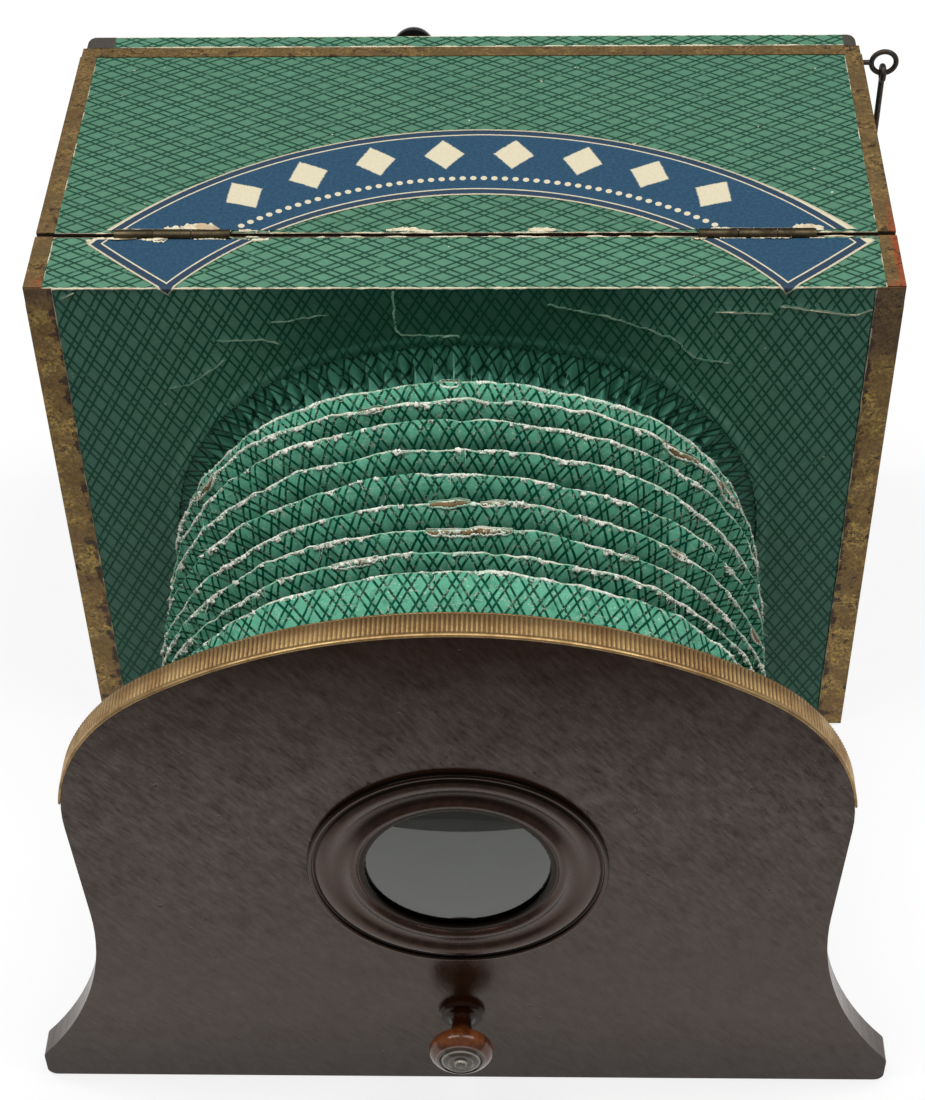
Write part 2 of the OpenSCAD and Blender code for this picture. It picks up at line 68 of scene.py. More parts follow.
# Camera, fitted to the photo's 925 x 1100 frame
CAMERA_AT = (0.0143, -0.5051, 0.5161)
PITCH, YAW, ROLL = 44.59, 2.01, 1.33
LENS_MM = 74.52
SENSOR_MM = 36

# Width of the boards' softened edges
SOFT_EDGE = 0.5 * MM

# Turned parts on the lens board: axes' heights, and where the knob's end starts, which is painted grey as a
# reflection
LENS_Z = (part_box("lens_ring")[0].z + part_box("lens_ring")[1].z) / 2
RING_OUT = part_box("lens_ring")[1].x
RING_IN = 23.2 * MM
KNOB_Z = (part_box("pull_knob")[0].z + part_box("pull_knob")[1].z) / 2
KNOB_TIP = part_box("pull_knob")[0].y + 1.4 * MM

# Radius of the lens's faces
LENS_FACE_R = 182 * MM

# Table top: how far it reaches ahead of the lens board and elsewhere, its grey and its own glow
TABLE_AHEAD = 111 * MM
FLOOR_REACH = 4.0
FLOOR_GREY = (0.3, 0.3, 0.3, 1)
FLOOR_GLOW = 0.76

# Lamps, one on either side, and the dome's light, with what shines add to it
LAMP_AT = (0.55, -0.06, 1.25)
LAMP_AIM = (0, -0.05, 0.1)
LAMP_SIZE = (0.7, 0.9)
LAMP_POWER = 9.5
DOME_LIGHT = 0.14
DOME_SHEEN = 0.1

# Bellows, as in the CAD
BELLOWS_LEN = FRONT_Y - BOARD_BACK_Y
FOLD_COUNT = 9
FOLD_DEPTH = 9.5 * MM
FIRST_FOLD = 13.5 * MM
LAST_FOLD = 30 * MM
FOLD_SWAY = 2.6 * MM
FOLD_BUNCH = 2.4 * MM
COLLAR_T = 0.8 * MM
ARCH_HALF_W = 79 * MM
ARCH_TOP = 146 * MM
ARCH_CROWN_R = 110 * MM
ARCH_SHOULDER_R = 62 * MM
ARCH_FOOT_Z = 12 * MM
ARCH_FOOT_R = 16 * MM
FRONT_RISE = 4 * MM
FRONT_NARROW = 3 * MM

# Steps round half the bellows' section
UNDER_STEPS, FOOT_STEPS, WALL_STEPS, SHOULDER_STEPS, CROWN_STEPS = 34, 18, 50, 84, 44

# Where the worn ridges have crept at the crown (mm towards the lens), depth of the valleys between them (mm),
# how frayed each ridge is, the tears (ridge, and start and end round the tube in mm right of the crown) and
# tufts of torn paper (ridge and place)
CROWN_SHIFT = (0.4, -0.2, -1.4, 0.1, -2.3, -3.2, -2.8, -2.0, -1.6)
CROWN_REACH = 45 * MM
VALLEYS = (5.2, 9.6, 10.4, 11.0, 11.0, 11.4, 11.2, 10.6)
FRAY = (0.85, 0.95, 0.75, 0.85, 0.6, 0.85, 0.8, 1.0, 0.7)
TEARS = ((1, -25, -18.6), (1, 51, 64), (1, 70, 84), (5, -7.5, 3), (5, 5, 11.8), (6, -7.9, 13.2), (5, 53, 59),
         (5, 88, 95), (6, 41, 44.5), (0, -5.6, -0.6), (1, -81, -70), (7, -31, -19))
TUFTS = ((4, -25.3), (6, -32.5), (2, 15), (5, 30), (3, 62), (7, 20), (1, 5), (3, -55), (5, -60))

# Rim of the bellows: reach of its glued flange outside the arch and inside it, the pitch of its pleats and
# the share of a pleat that rises to its crest
RIM_OUT = 2 * MM
RIM_IN = 9.5 * MM
PLEAT_PITCH = 4.3 * MM
PLEAT_CREST = 0.72

# Gathers between the box and the first fold: distance from the box and height against the ridges, in mm,
# along the crest and along the valley of each pleat
CREST_LINE = ((0.3, 0.6), (1.1, -1.2), (2.0, -3.4), (3.3, -5.6), (5.4, -6.9), (8.6, -6.5), (11.5, -4.8))
VALLEY_LINE = ((0.1, 0.3), (0.2, -3.4), (0.4, -6.8), (0.9, -10.2), (4.0, -10.7), (8.6, -8.3), (11.5, -5.4))
FRONT_HOLE = 0.3 * MM

# Arched top of the lens board, as in the CAD, and the stamped band round it
BOARD_TOP = 168 * MM
BOARD_CROWN_R = 124 * MM
BOARD_SHOULDER_R = 50 * MM
BOARD_HALF_W = 90.6 * MM
BAND_END_Z = 112 * MM
BAND_T = 0.6 * MM
RIB_PITCH = 1.05 * MM
RIM_W = 0.85 * MM
BACK_RIM_W = 0.45 * MM
BAND_LIP = 0.25 * MM

# Creases of the front paper: points (x, z) in mm, height in mm, paleness
CREASES = (
    (((80, 158.2), (87, 157), (98.5, 155.4), (102.5, 157.3)), 0.25, 1.0),
    (((63.5, 156.4), (77.5, 155.9)), 0.2, 0.75),
    (((21.5, 158.8), (36.5, 155), (45.5, 151.6), (52.5, 148.3), (59.5, 141.5), (67.5, 140)), 0.25, 0.6),
    (((-48.5, 153), (-34, 156)), 0.2, 0.55),
    (((-62.5, 147.3), (-51.5, 147.8), (-47, 146.4)), 0.25, 0.65),
    (((-77, 131), (-71, 133), (-66, 137), (-61.5, 141)), 0.2, 0.5),
    (((-17.5, 163.2), (-17.2, 151), (-15.5, 149), (-1, 148.8)), 0.12, 0.6),
    (((-101, 161), (-97.5, 162.8)), 0.2, 0.8),
)

# Torn paper at the lid's hinges, in mm: lines (start, end, width) and flakes (x, length, width, curl) on the
# lid and on the fixed strip, and what wraps the barrels (start, end, reach in degrees)
LID_LINES = ((-93, -79, 1.3), (-79, -60, 0.9), (-58, -50, 1.1), (-20, -8, 1.2), (15, 25, 1.1), (61, 73, 0.8),
             (73, 95, 1.5))
RAIL_LINES = ((-97, -77, 1.4), (-77, -61, 0.6), (-58, -50, 1.1), (58, 72, 0.7), (72, 92, 0.5))
LID_FLAKES = ((-68, 10, 2.6, 1.1), (-75, 5, 1.8, 0.6), (-15, 7, 1.3, 0.5), (20, 7, 1.2, 0.4),
              (88, 8, 2.2, 0.9), (66, 6, 1.0, 0.5))
RAIL_FLAKES = ((-78, 4, 2.4, 0.4), (-88, 8, 1.2, 0.5), (80, 7, 1.0, 0.4), (60, 4, 1.4, 0.4))
BARREL_WRAPS = ((68, 89.8, 46), (-89.8, -79, 60), (-79, -66, 46))
WRAP_FROM = math.radians(22)
WRAP_R = 1.6 * MM

# Lozenge print: size of one lozenge and half the width of a line, as a share of it
LOZENGE_LONG = 10.04 * MM
LOZENGE_SHORT = 5.95 * MM
LINE_HALF = 0.06

# Label on the lid
LABEL_CENTRE = (3.4 * MM, FRONT_Y - 53.75 * MM)
LABEL_OUT_R = 122.6 * MM
LABEL_IN_R = 92.8 * MM
LABEL_TURN = math.radians(56.2)
LABEL_SLANT = math.radians(1.9) / (LABEL_OUT_R - LABEL_IN_R)
LABEL_FLARE = 2.0 * MM
LABEL_GAP = 1.1 * MM


def rgb(r, g, b):
    """A colour written as it shows on screen, 0 to 255, as the linear colour that shaders take."""
    def linear(v):
        v /= 255
        return v / 12.92 if v <= 0.04045 else ((v + 0.055) / 1.055) ** 2.4
    return (linear(r), linear(g), linear(b), 1.0)


TOP_GREEN, TOP_INK = rgb(96, 150, 121), rgb(17, 62, 45)
# Painted light: the front's and the folds' greens and inks are the top's print lightened for faces the lamps
# light less; the folds' green is also less faded
FRONT_GREEN, FRONT_INK = rgb(114, 168, 146), rgb(22, 90, 68)
FOLD_GREEN, FOLD_INK = rgb(110, 190, 158), rgb(2, 64, 46)
# Painted shade: the rim's green and ink are the bellows' paper darkened where it gathers at the box
RIM_GREEN, RIM_INK = rgb(84, 154, 128), rgb(12, 60, 48)
CREAM = rgb(222, 212, 184)
GILT_DARK = rgb(70, 48, 28)
SOOT = rgb(22, 20, 18)


class Shader:
    """A material's node tree, with short calls that add nodes and link them."""

    def __init__(self, name):
        self.material = bpy.data.materials.new(name)
        self.material.use_nodes = True
        self.tree = self.material.node_tree
        self.tree.nodes.clear()

    def add(self, kind, inputs=(), out=0, **settings):
        node = self.tree.nodes.new("ShaderNode" + kind)
        for key, value in settings.items():
            setattr(node, key, value)
        for key, value in dict(inputs).items():
            if isinstance(value, bpy.types.NodeSocket):
                self.tree.links.new(value, node.inputs[key])
            else:
                node.inputs[key].default_value = value
        return node.outputs[out] if node.outputs else None

    def math(self, operation, a, b=0.0):
        return self.add("Math", {0: a, 1: b}, operation=operation)

    def mul(self, a, b):
        return self.math("MULTIPLY", a, b)

    def plus(self, a, b):
        return self.math("ADD", a, b)

    def minus(self, a, b):
        return self.math("SUBTRACT", a, b)

    def most(self, a, b):
        return self.math("MAXIMUM", a, b)

    def least(self, a, b):
        return self.math("MINIMUM", a, b)

    def size(self, a):
        return self.math("ABSOLUTE", a)

    def away(self, a, b):
        """How far a is from b."""
        return self.size(self.minus(a, b))

    def vector(self, operation, a, b=(0, 0, 0), out=0):
        return self.add("VectorMath", {0: a, 1: b}, out, operation=operation)

    def parts(self, vector):
        node = self.tree.nodes.new("ShaderNodeSeparateXYZ")
        self.tree.links.new(vector, node.inputs[0])
        return node.outputs[0], node.outputs[1], node.outputs[2]

    def join(self, x, y, z=0.0):
        return self.add("CombineXYZ", {0: x, 1: y, 2: z})

    def place(self):
        """Position in the row frame, at rest."""
        return self.add("TexCoord", out="Object")

    def facing(self):
        return self.add("TexCoord", out="Normal")

    def attribute(self, name, out="Vector"):
        return self.add("Attribute", out=out, attribute_name=name)

    def between(self, value, low, high):
        """0 below low, 1 above high, smooth between; low may be the larger."""
        return self.add("MapRange", {0: value, 1: low, 2: high}, interpolation_type="SMOOTHSTEP")

    def ramp(self, value, first, last, low=0.3, high=0.7):
        """first at low, last at high, straight between."""
        return self.add("MapRange", {0: value, 1: low, 2: high, 3: first, 4: last})

    def blend(self, share, a, b):
        return self.add("Mix", {0: share, 6: a, 7: b}, 2, data_type="RGBA")

    def noise(self, where, size, detail=3.0, roughness=0.55):
        """Soft random values about 0.5, with lumps of that size in metres."""
        return self.add("TexNoise", {"Vector": where, "Scale": 1 / size, "Detail": detail,
                                     "Roughness": roughness})

    def stretch(self, where, x, y, z):
        return self.vector("MULTIPLY", where, (x, y, z))

    def edge(self, where, low, high):
        """Distance to the nearest edge of a box, on its surface."""
        centre, half = (low + high) / 2, (high - low) / 2
        away = self.vector("ABSOLUTE", self.vector("SUBTRACT", where, tuple(centre)))
        a, b, c = self.parts(self.vector("SUBTRACT", tuple(half), away))
        return self.most(self.least(a, b), self.least(self.most(a, b), c))

    def finish(self, height=None, depth=0.1 * MM, **inputs):
        named = {key.replace("_", " "): value for key, value in inputs.items()}
        if height is not None:
            named["Normal"] = self.add("Bump", {"Height": height, "Strength": 1.0, "Distance": depth})
        shader = self.add("BsdfPrincipled", named)
        self.add("OutputMaterial", {"Surface": shader})
        return self.material


def lozenges(s, p, q):
    """Ink of the print: two sets of paired thin lines; p and q count lozenges."""
    lines = []
    for way in ("ADD", "SUBTRACT"):
        phase = s.math("FRACT", s.math(way, p, q))
        pair = s.away(phase, 0.5)
        gap = s.away(pair, 1 / 6)
        lines.append(s.between(gap, 1.35 * LINE_HALF, 0.65 * LINE_HALF))
    return s.most(*lines)


def shade(colour, share):
    """A colour made darker, or lighter for a share above 1."""
    return tuple(share * c for c in colour[:3]) + (1.0,)


def printed_paper(s, where, p, q, green, ink_colour):
    """Colour of the printed green paper, with mottling, faded patches and pale specks."""
    ink = lozenges(s, p, q)
    faded = s.between(s.noise(where, 14 * MM, 4), 0.35, 0.75)
    field = s.blend(faded, shade(green, 1.06), shade(green, 0.78))
    fibre = s.noise(s.stretch(where, 1.0, 2.6, 2.6), 1.1 * MM, 5, 0.7)
    field = s.blend(s.between(fibre, 0.35, 0.8), shade(green, 0.76), field)
    worn_ink = s.mul(ink, s.between(s.noise(where, 2.4 * MM, 4, 0.7), 0.2, 0.5))
    colour = s.blend(worn_ink, field, ink_colour)
    specks = s.between(s.noise(where, 1.6 * MM, 2, 0.4), 0.785, 0.81)
    return s.blend(specks, colour, CREAM), fibre


def flat_print(s, where):
    """Lozenge counts on flat boards: long across the top, upright on the walls."""
    wobble = s.vector("SCALE", s.vector("SUBTRACT", s.add("TexNoise", {
        "Vector": where, "Scale": 1 / (9 * MM)}, out="Color"), (0.5, 0.5, 0.5)))
    wobble.node.inputs["Scale"].default_value = 0.35 * MM
    x, y, z = s.parts(s.vector("ADD", where, wobble))
    nx, _, nz = s.parts(s.vector("ABSOLUTE", s.facing()))
    side = s.math("GREATER_THAN", nx, 0.7)
    top = s.math("GREATER_THAN", nz, 0.7)
    across = s.add("Mix", {0: side, 2: x, 3: y})
    along = s.add("Mix", {0: top, 2: z, 3: y})
    p = s.mul(across, s.add("Mix", {0: top, 2: 1 / LOZENGE_SHORT, 3: 1 / LOZENGE_LONG}))
    q = s.mul(along, s.add("Mix", {0: top, 2: 1 / LOZENGE_LONG, 3: 1 / LOZENGE_SHORT}))
    return p, q


def board_material(node, inner=None, dark_corner=None, gap_y=None):
    """A board covered with the print, stained dark on the face whose normal is inner and along gap_y."""
    s = Shader(node + "_paper")
    where = s.place()
    # Painted shade: the lid's print is darker than the rail's
    green = shade(TOP_GREEN, 0.88 if node == "lid" else 1.0)
    colour, fibre = printed_paper(s, where, *flat_print(s, where), green, TOP_INK)
    low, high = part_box(node)
    rag = s.mul(s.noise(where, 2.2 * MM, 5, 0.7), 1.5 * MM)
    edge = s.plus(s.edge(where, low, high), s.minus(rag, 0.55 * MM))
    colour = s.blend(s.between(edge, 0.55 * MM, 0.25 * MM), colour, CREAM)
    if gap_y is not None:
        _, y, _ = s.parts(where)
        near = s.between(s.away(y, gap_y), 1.25 * MM, 0.95 * MM)
        colour = s.blend(near, colour, s.blend(fibre, rgb(34, 28, 22), rgb(78, 62, 44)))
    if dark_corner is not None:
        x, _, z = s.parts(where)
        x = s.minus(x, 2.2 * MM)
        patch = s.mul(s.between(s.size(x), dark_corner, dark_corner + 0.4 * MM),
                       s.between(z, high.z - 16 * MM, high.z - 15.6 * MM))
        colour = s.blend(patch, colour, s.blend(fibre, rgb(48, 44, 40), rgb(88, 82, 74)))
    if inner is not None:
        inside = s.between(s.vector("DOT_PRODUCT", s.facing(), inner, out=1), 0.6, 0.8)
        grain = s.noise(s.stretch(where, 1, 1, 0.08), 1.4 * MM, 4)
        colour = s.blend(inside, colour, s.blend(grain, rgb(30, 26, 23), rgb(58, 50, 43)))
    return s.finish(fibre, 0.06 * MM, Base_Color=colour, Roughness=0.72, Specular_IOR_Level=0.3)


def paper_by_attribute(name, green, ink, wear, bare_dark, bare_light, rough, gloss, scuffed=False):
    """Printed paper on a made piece: attribute paper holds its flat place and how much painted shade it
    takes, worn how bare it is.
    """
    s = Shader(name)
    where = s.place()
    flat = s.attribute("paper")
    u, v, deep = s.parts(flat)
    p = s.math("DIVIDE", u, LOZENGE_SHORT)
    q = s.math("DIVIDE", v, LOZENGE_LONG)
    colour, fibre = printed_paper(s, where, p, q, green, ink)
    worn = s.attribute("worn", "Fac")
    rag = s.noise(s.stretch(flat, 1, 2.0, 1), 1.5 * MM, 5, 0.75)
    bare = s.between(s.plus(worn, s.mul(s.minus(rag, 0.5), wear)), 0.42, 0.58)
    pale = s.between(s.noise(where, 5 * MM, 3, 0.7), 0.38, 0.62)
    # Painted shade: the colour darkens towards the ink's shade where the paper attribute's third part is deep
    painted_shade = s.mul(s.between(s.plus(deep, s.mul(rag, 0.2 * MM)), 0.16 * MM, 0.66 * MM), 0.72)
    if scuffed:
        smudge = s.mul(s.between(s.noise(flat, 3.6 * MM, 5, 0.7), 0.46, 0.68), 0.42)
        colour = s.blend(smudge, colour, shade(ink, 1.6))
        hairs = s.away(s.noise(s.stretch(flat, 1, 0.7, 1), 4 * MM, 5, 0.65), 0.5)
        hairs = s.mul(s.between(hairs, 0.016, 0.006), s.between(rag, 0.48, 0.6))
        colour = s.blend(s.mul(hairs, 0.6), colour, bare_light)
    colour = s.blend(painted_shade, colour, shade(ink, 0.5))
    colour = s.blend(bare, colour, s.blend(pale, bare_dark, bare_light))
    return s.finish(fibre, 0.08 * MM, Base_Color=colour, Roughness=rough, Specular_IOR_Level=gloss)


def torn_paper(name, dark, light, stained):
    """Fibrous torn paper or pasteboard, stained in places."""
    s = Shader(name)
    where = s.place()
    fibre = s.noise(where, 0.8 * MM, 5, 0.75)
    stain = s.noise(where, 6 * MM, 3)
    colour = s.blend(s.between(fibre, 0.3, 0.7), dark, light)
    colour = s.blend(s.between(stain, 0.52, 0.68), colour, stained)
    return s.finish(fibre, 0.15 * MM, Base_Color=colour, Roughness=0.9, Specular_IOR_Level=0.2)


def gilt_material():
    """Tarnished gilt paper: gold rubbed to brown, with blotches, specks, cracks, and red where it is gone."""
    s = Shader("gilt_paper")
    where = s.place()
    x, y, z = s.parts(where)
    cloud = s.noise(where, 9 * MM, 5, 0.65)
    grit = s.noise(where, 1.0 * MM, 4, 0.7)
    spots = s.noise(where, 3.2 * MM, 4, 0.65)
    bends = s.noise(s.stretch(where, 0.8, 1, 1), 11 * MM, 5, 0.6)
    crack = s.mul(s.between(s.away(bends, 0.5), 0.01, 0.003),
                   s.between(cloud, 0.5, 0.58))
    # Painted light: the strips on the front take lighter golds, lit copies for faces the lamps light less
    front = s.between(y, FRONT_Y + 0.2 * MM, FRONT_Y)
    bright = s.blend(front, rgb(166, 134, 76), rgb(255, 214, 122))
    dull = s.blend(front, rgb(118, 95, 54), rgb(166, 132, 72))
    colour = s.blend(s.between(cloud, 0.38, 0.64), dull, bright)
    colour = s.blend(s.between(grit, 0.35, 0.75), s.blend(front, rgb(106, 84, 50), rgb(126, 95, 52)), colour)
    inner = s.minus(s.size(x), STRIP_FRONT_X)
    stained = s.mul(s.mul(s.between(inner, 2.6 * MM, 0.2 * MM), front), 0.15)
    colour = s.blend(s.between(s.plus(spots, stained), 0.58, 0.68), colour, GILT_DARK)
    edge = s.plus(x, s.mul(cloud, 2.4 * MM))
    red = s.mul(s.between(edge, HALF_W - 0.9 * MM, HALF_W + 0.6 * MM), s.between(y, -15 * MM, -34 * MM))
    red = s.most(red, s.mul(s.between(y, FRONT_Y + 6 * MM, FRONT_Y + 2 * MM), s.between(cloud, 0.42, 0.6)))
    red = s.mul(red, s.between(z, TOP_Z - 0.6 * MM, TOP_Z - 0.1 * MM))
    colour = s.blend(s.mul(red, 0.9), colour, rgb(158, 76, 40))
    height = s.plus(z, s.mul(s.plus(cloud, grit), 9 * MM))
    starts = s.add("Mix", {0: s.math("GREATER_THAN", x, 0.0), 2: 163 * MM, 3: 146 * MM})
    top_end = s.mul(s.between(s.minus(height, starts), 0.0, 9 * MM), front)
    colour = s.blend(s.mul(top_end, 0.7), colour, rgb(84, 60, 46))
    colour = s.blend(crack, colour, rgb(76, 57, 35))
    rough = s.ramp(grit, 0.4, 0.62)
    relief = s.plus(s.plus(grit, s.mul(bends, 5.0)), s.mul(crack, -1.2))
    return s.finish(relief, 0.3 * MM, Base_Color=colour, Metallic=0.42, Roughness=rough)


def mahogany_material():
    """Dark polished board: red-brown with upright grain, hatched by slanting rubs, dull patches and nicks."""
    s = Shader("mahogany")
    where = s.place()
    x, y, z = s.parts(where)
    grain = s.noise(s.stretch(where, 1, 1, 0.06), 0.9 * MM, 5, 0.7)
    cloud = s.noise(where, 26 * MM, 4, 0.6)
    slant = s.join(s.mul(s.minus(x, z), 0.2), y, s.plus(x, s.mul(z, 0.8)))
    rubs = s.noise(slant, 1.2 * MM, 4, 0.7)
    mottle = s.noise(where, 5 * MM, 5, 0.7)
    colour = s.blend(grain, rgb(50, 26, 17), rgb(78, 44, 28))
    colour = s.blend(s.between(cloud, 0.4, 0.7), colour, rgb(68, 43, 29))
    # Painted shade: the board is darker towards its bottom edge
    colour = s.blend(s.between(z, 34 * MM, 4 * MM), colour, rgb(50, 26, 18))
    nick = s.between(s.noise(s.stretch(where, 1, 1, 0.6), 3.2 * MM, 3, 0.6), 0.72, 0.76)
    colour = s.blend(nick, colour, rgb(20, 10, 9))
    dull = s.ramp(s.noise(where, 12 * MM, 5, 0.65), 0.18, 0.32)
    share = s.plus(s.mul(rubs, 0.6), s.mul(mottle, 0.4))
    strong = s.ramp(z, 0.7, 1.9, 50 * MM, 110 * MM)
    polish = s.plus(s.mul(s.minus(share, 0.5), strong), 0.46)
    for low, high, first, last in ((4, 30, 0.72, 1.0), (90, 140, 1.0, 1.4), (148, 163, 1.0, 0.45)):
        polish = s.mul(polish, s.ramp(z, first, last, low * MM, high * MM))
    ripple = s.plus(s.plus(grain, rubs), s.mul(nick, -3.0))
    return s.finish(ripple, 0.03 * MM, Base_Color=colour, Roughness=dull, Specular_IOR_Level=polish,
                    Specular_Tint=rgb(255, 241, 226))


def turned_material(name, dark, light, axis_z, low_rough, high_rough, sheen, reflection_y=None, hollows=False):
    """Turned wood: fine rings round the axis, streaks and polish; ahead of reflection_y it is painted grey
    with pale rings, a painted reflection, and it is darker next to the board.

    With hollows it is the lens ring, with painted shade: black round the opening, in the quirk of its rim,
    widest at its top and bottom, and on its wall, and dark in the upper part of its hollow.
    """
    s = Shader(name)
    where = s.vector("SUBTRACT", s.place(), (0, 0, axis_z))
    streak = s.noise(s.stretch(where, 1, 0.3, 1), 2.6 * MM, 4, 0.6)
    x, y, z = s.parts(where)
    radius = s.vector("LENGTH", s.join(x, z), out=1)
    rings = s.noise(s.join(radius, y), 0.35 * MM, 2)
    colour = s.blend(s.between(streak, 0.35, 0.7), dark, light)
    if reflection_y is not None:
        # Painted reflection: grey with pale rings on the knob's end
        turning = s.away(s.math("FRACT", s.math("DIVIDE", radius, 1.55 * MM)), 0.5)
        grey = s.blend(rings, rgb(62, 55, 49), rgb(104, 94, 86))
        grey = s.blend(s.between(turning, 0.3, 0.42), grey, rgb(196, 187, 174))
        colour = s.blend(s.between(y, reflection_y + 0.7 * MM, reflection_y), colour, grey)
        black = s.between(y, BOARD_FRONT_Y - 8 * MM, BOARD_FRONT_Y - 5 * MM)
        colour = s.blend(black, colour, shade(dark, 0.25))
    if hollows:
        # Painted shade: black bands on the wall, in the quirk and round the opening, and a dark upper hollow
        upright = s.math("DIVIDE", s.size(z), radius)
        quirk = s.away(radius, RING_OUT - 1.8 * MM)
        quirk = s.minus(quirk, s.mul(upright, 0.55 * MM))
        hollow = s.between(s.away(radius, 28 * MM), 2.2 * MM, 1.3 * MM)
        hollow = s.mul(hollow, s.between(s.math("DIVIDE", z, radius), 0.35, 0.75))
        black = s.most(s.between(radius, RING_OUT - 0.45 * MM, RING_OUT - 0.3 * MM),
                       s.between(quirk, 0.4 * MM, 0.2 * MM))
        black = s.most(black, s.between(radius, RING_IN + 0.2 * MM, RING_IN - 0.1 * MM))
        colour = s.blend(s.mul(hollow, 0.7), colour, rgb(20, 11, 10))
        colour = s.blend(black, colour, rgb(12, 9, 7))
        black = s.most(black, s.mul(hollow, 0.7))
    gloss = s.plus(s.mul(black, -0.4), 0.6)
    rough = s.ramp(streak, low_rough, high_rough)
    return s.finish(rings, 0.02 * MM, Base_Color=colour, Roughness=rough, Specular_IOR_Level=gloss,
                    Specular_Tint=sheen)


def brass_material(name, bright, dull, low_rough, high_rough, grooved=False):
    """Brass with brown tarnish, darker where the attribute groove is set: dirt in the ribs' hollows, a little
    on the front rim, and painted shade on the rear rim.
    """
    s = Shader(name)
    where = s.place()
    cloud = s.noise(where, 7 * MM, 5, 0.65)
    grit = s.noise(where, 0.9 * MM, 3, 0.6)
    share = s.between(s.plus(cloud, s.mul(grit, 0.35)), 0.5, 0.9)
    colour = s.blend(share, bright, dull)
    if grooved:
        colour = s.blend(s.mul(s.attribute("groove", "Fac"), 0.75), colour, rgb(62, 44, 26))
    rough = s.ramp(share, low_rough, high_rough, 0.0, 1.0)
    return s.finish(grit, 0.03 * MM, Base_Color=colour, Metallic=1.0, Roughness=rough)


def stained_material(name, dark, light, low_rough, high_rough):
    """Black stained or polished wood."""
    s = Shader(name)
    where = s.place()
    grain = s.noise(s.stretch(where, 1, 1, 0.1), 1.2 * MM, 4)
    rough = s.ramp(grain, low_rough, high_rough)
    return s.finish(grain, 0.04 * MM, Base_Color=s.blend(grain, dark, light), Roughness=rough)


def iron_material():
    """Dark iron wire with rust."""
    s = Shader("iron_wire")
    where = s.place()
    rust = s.noise(where, 2.2 * MM, 5, 0.7)
    colour = s.blend(s.between(rust, 0.4, 0.65), rgb(62, 58, 54), rgb(76, 54, 38))
    return s.finish(rust, 0.12 * MM, Base_Color=colour, Metallic=0.55, Roughness=s.ramp(rust, 0.4, 0.7))


def glass_material():
    """Dusty glass of the lens."""
    s = Shader("lens_glass")
    dust = s.noise(s.place(), 5 * MM, 5, 0.7)
    colour = s.blend(s.between(dust, 0.3, 0.7), rgb(94, 98, 94), rgb(104, 108, 104))
    return s.finish(Base_Color=colour, Roughness=0.0, IOR=1.78, Transmission_Weight=1.0,
                    Specular_Tint=rgb(252, 255, 247))


def label_material():
    """Blue label with cream margin, a thin cream line and a plain row of lozenges and dots."""
    s = Shader("label")
    where = s.attribute("paper")
    x, y, _ = s.parts(s.vector("SUBTRACT", where, (*LABEL_CENTRE, 0)))
    radius = s.vector("LENGTH", s.join(x, y), out=1)
    angle = s.math("ARCTAN2", x, y)
    middle = (LABEL_OUT_R + LABEL_IN_R) / 2
    stop = s.minus(LABEL_TURN, s.mul(s.minus(radius, LABEL_IN_R), LABEL_SLANT))
    end = s.mul(s.minus(stop, s.size(angle)), radius)
    rim = s.least(s.least(s.minus(LABEL_OUT_R, radius),
                                   s.minus(radius, LABEL_IN_R)), end)
    fibre = s.noise(where, 0.9 * MM, 5, 0.7)
    rim = s.plus(rim, s.mul(s.minus(fibre, 0.5), 0.35 * MM))
    margin = s.between(rim, 0.55 * MM, 0.4 * MM)
    line = s.between(s.away(rim, 2.6 * MM), 0.28 * MM, 0.15 * MM)

    def row(count_gap, at_r, half_long, half_high, power):
        """A row of small shapes along the arc: power 1 gives lozenges, 2 gives ovals."""
        along = s.math("DIVIDE", s.mul(angle, middle), count_gap)
        cell = s.minus(s.math("FRACT", along), 0.5)
        a = s.math("POWER", s.size(s.mul(cell, count_gap / half_long)), power)
        b = s.math("POWER", s.size(s.math("DIVIDE", s.minus(radius, at_r), half_high)), power)
        size = s.plus(s.plus(a, b), s.mul(s.minus(fibre, 0.5), 0.3))
        return s.between(size, 1.05, 0.95)

    inside = s.between(rim, 4.4 * MM, 4.6 * MM)
    gap = 18 * MM
    upper = s.most(row(gap, middle + 3.5 * MM, 5.2 * MM, 6.6 * MM, 1.0),
                   row(gap / 6, middle - 7.6 * MM, 0.9 * MM, 0.9 * MM, 2.0))
    motif = s.mul(upper, s.mul(inside, s.between(s.size(angle), 0.672, 0.668)))
    field = s.blend(s.between(fibre, 0.3, 0.75), rgb(30, 64, 88), rgb(46, 86, 114))
    field = s.blend(s.between(rim, 2.7 * MM, 2.5 * MM), field, rgb(40, 62, 84))
    worn = s.between(s.noise(where, 3.4 * MM, 5, 0.7), 0.7, 0.78)
    colour = s.blend(s.most(s.most(margin, line), motif), field, s.blend(
        fibre, rgb(206, 194, 160), rgb(232, 224, 198)))
    colour = s.blend(worn, colour, rgb(200, 192, 168))
    return s.finish(fibre, 0.05 * MM, Base_Color=colour, Roughness=0.62, Specular_IOR_Level=0.3)


def wander(at, pitch, seed):
    """Smooth random values from -1 to 1 along a line, one bend every pitch."""
    at = np.asarray(at, float) / pitch
    low = np.floor(at).astype(int)
    ease = at - low
    ease = ease * ease * (3 - 2 * ease)
    values = np.random.default_rng(seed).uniform(-1, 1, low.max() - low.min() + 2)
    low = low - low.min()
    return values[low] * (1 - ease) + values[low + 1] * ease


def crumple(u, v, size, seed):
    """Smooth random values from -1 to 1 over a sheet, with lumps of that size."""
    flat = zip(np.ravel(u) / size, np.ravel(v) / size)
    return np.array([noise.noise((a, b, seed * 7.3)) for a, b in flat]).reshape(np.shape(u))


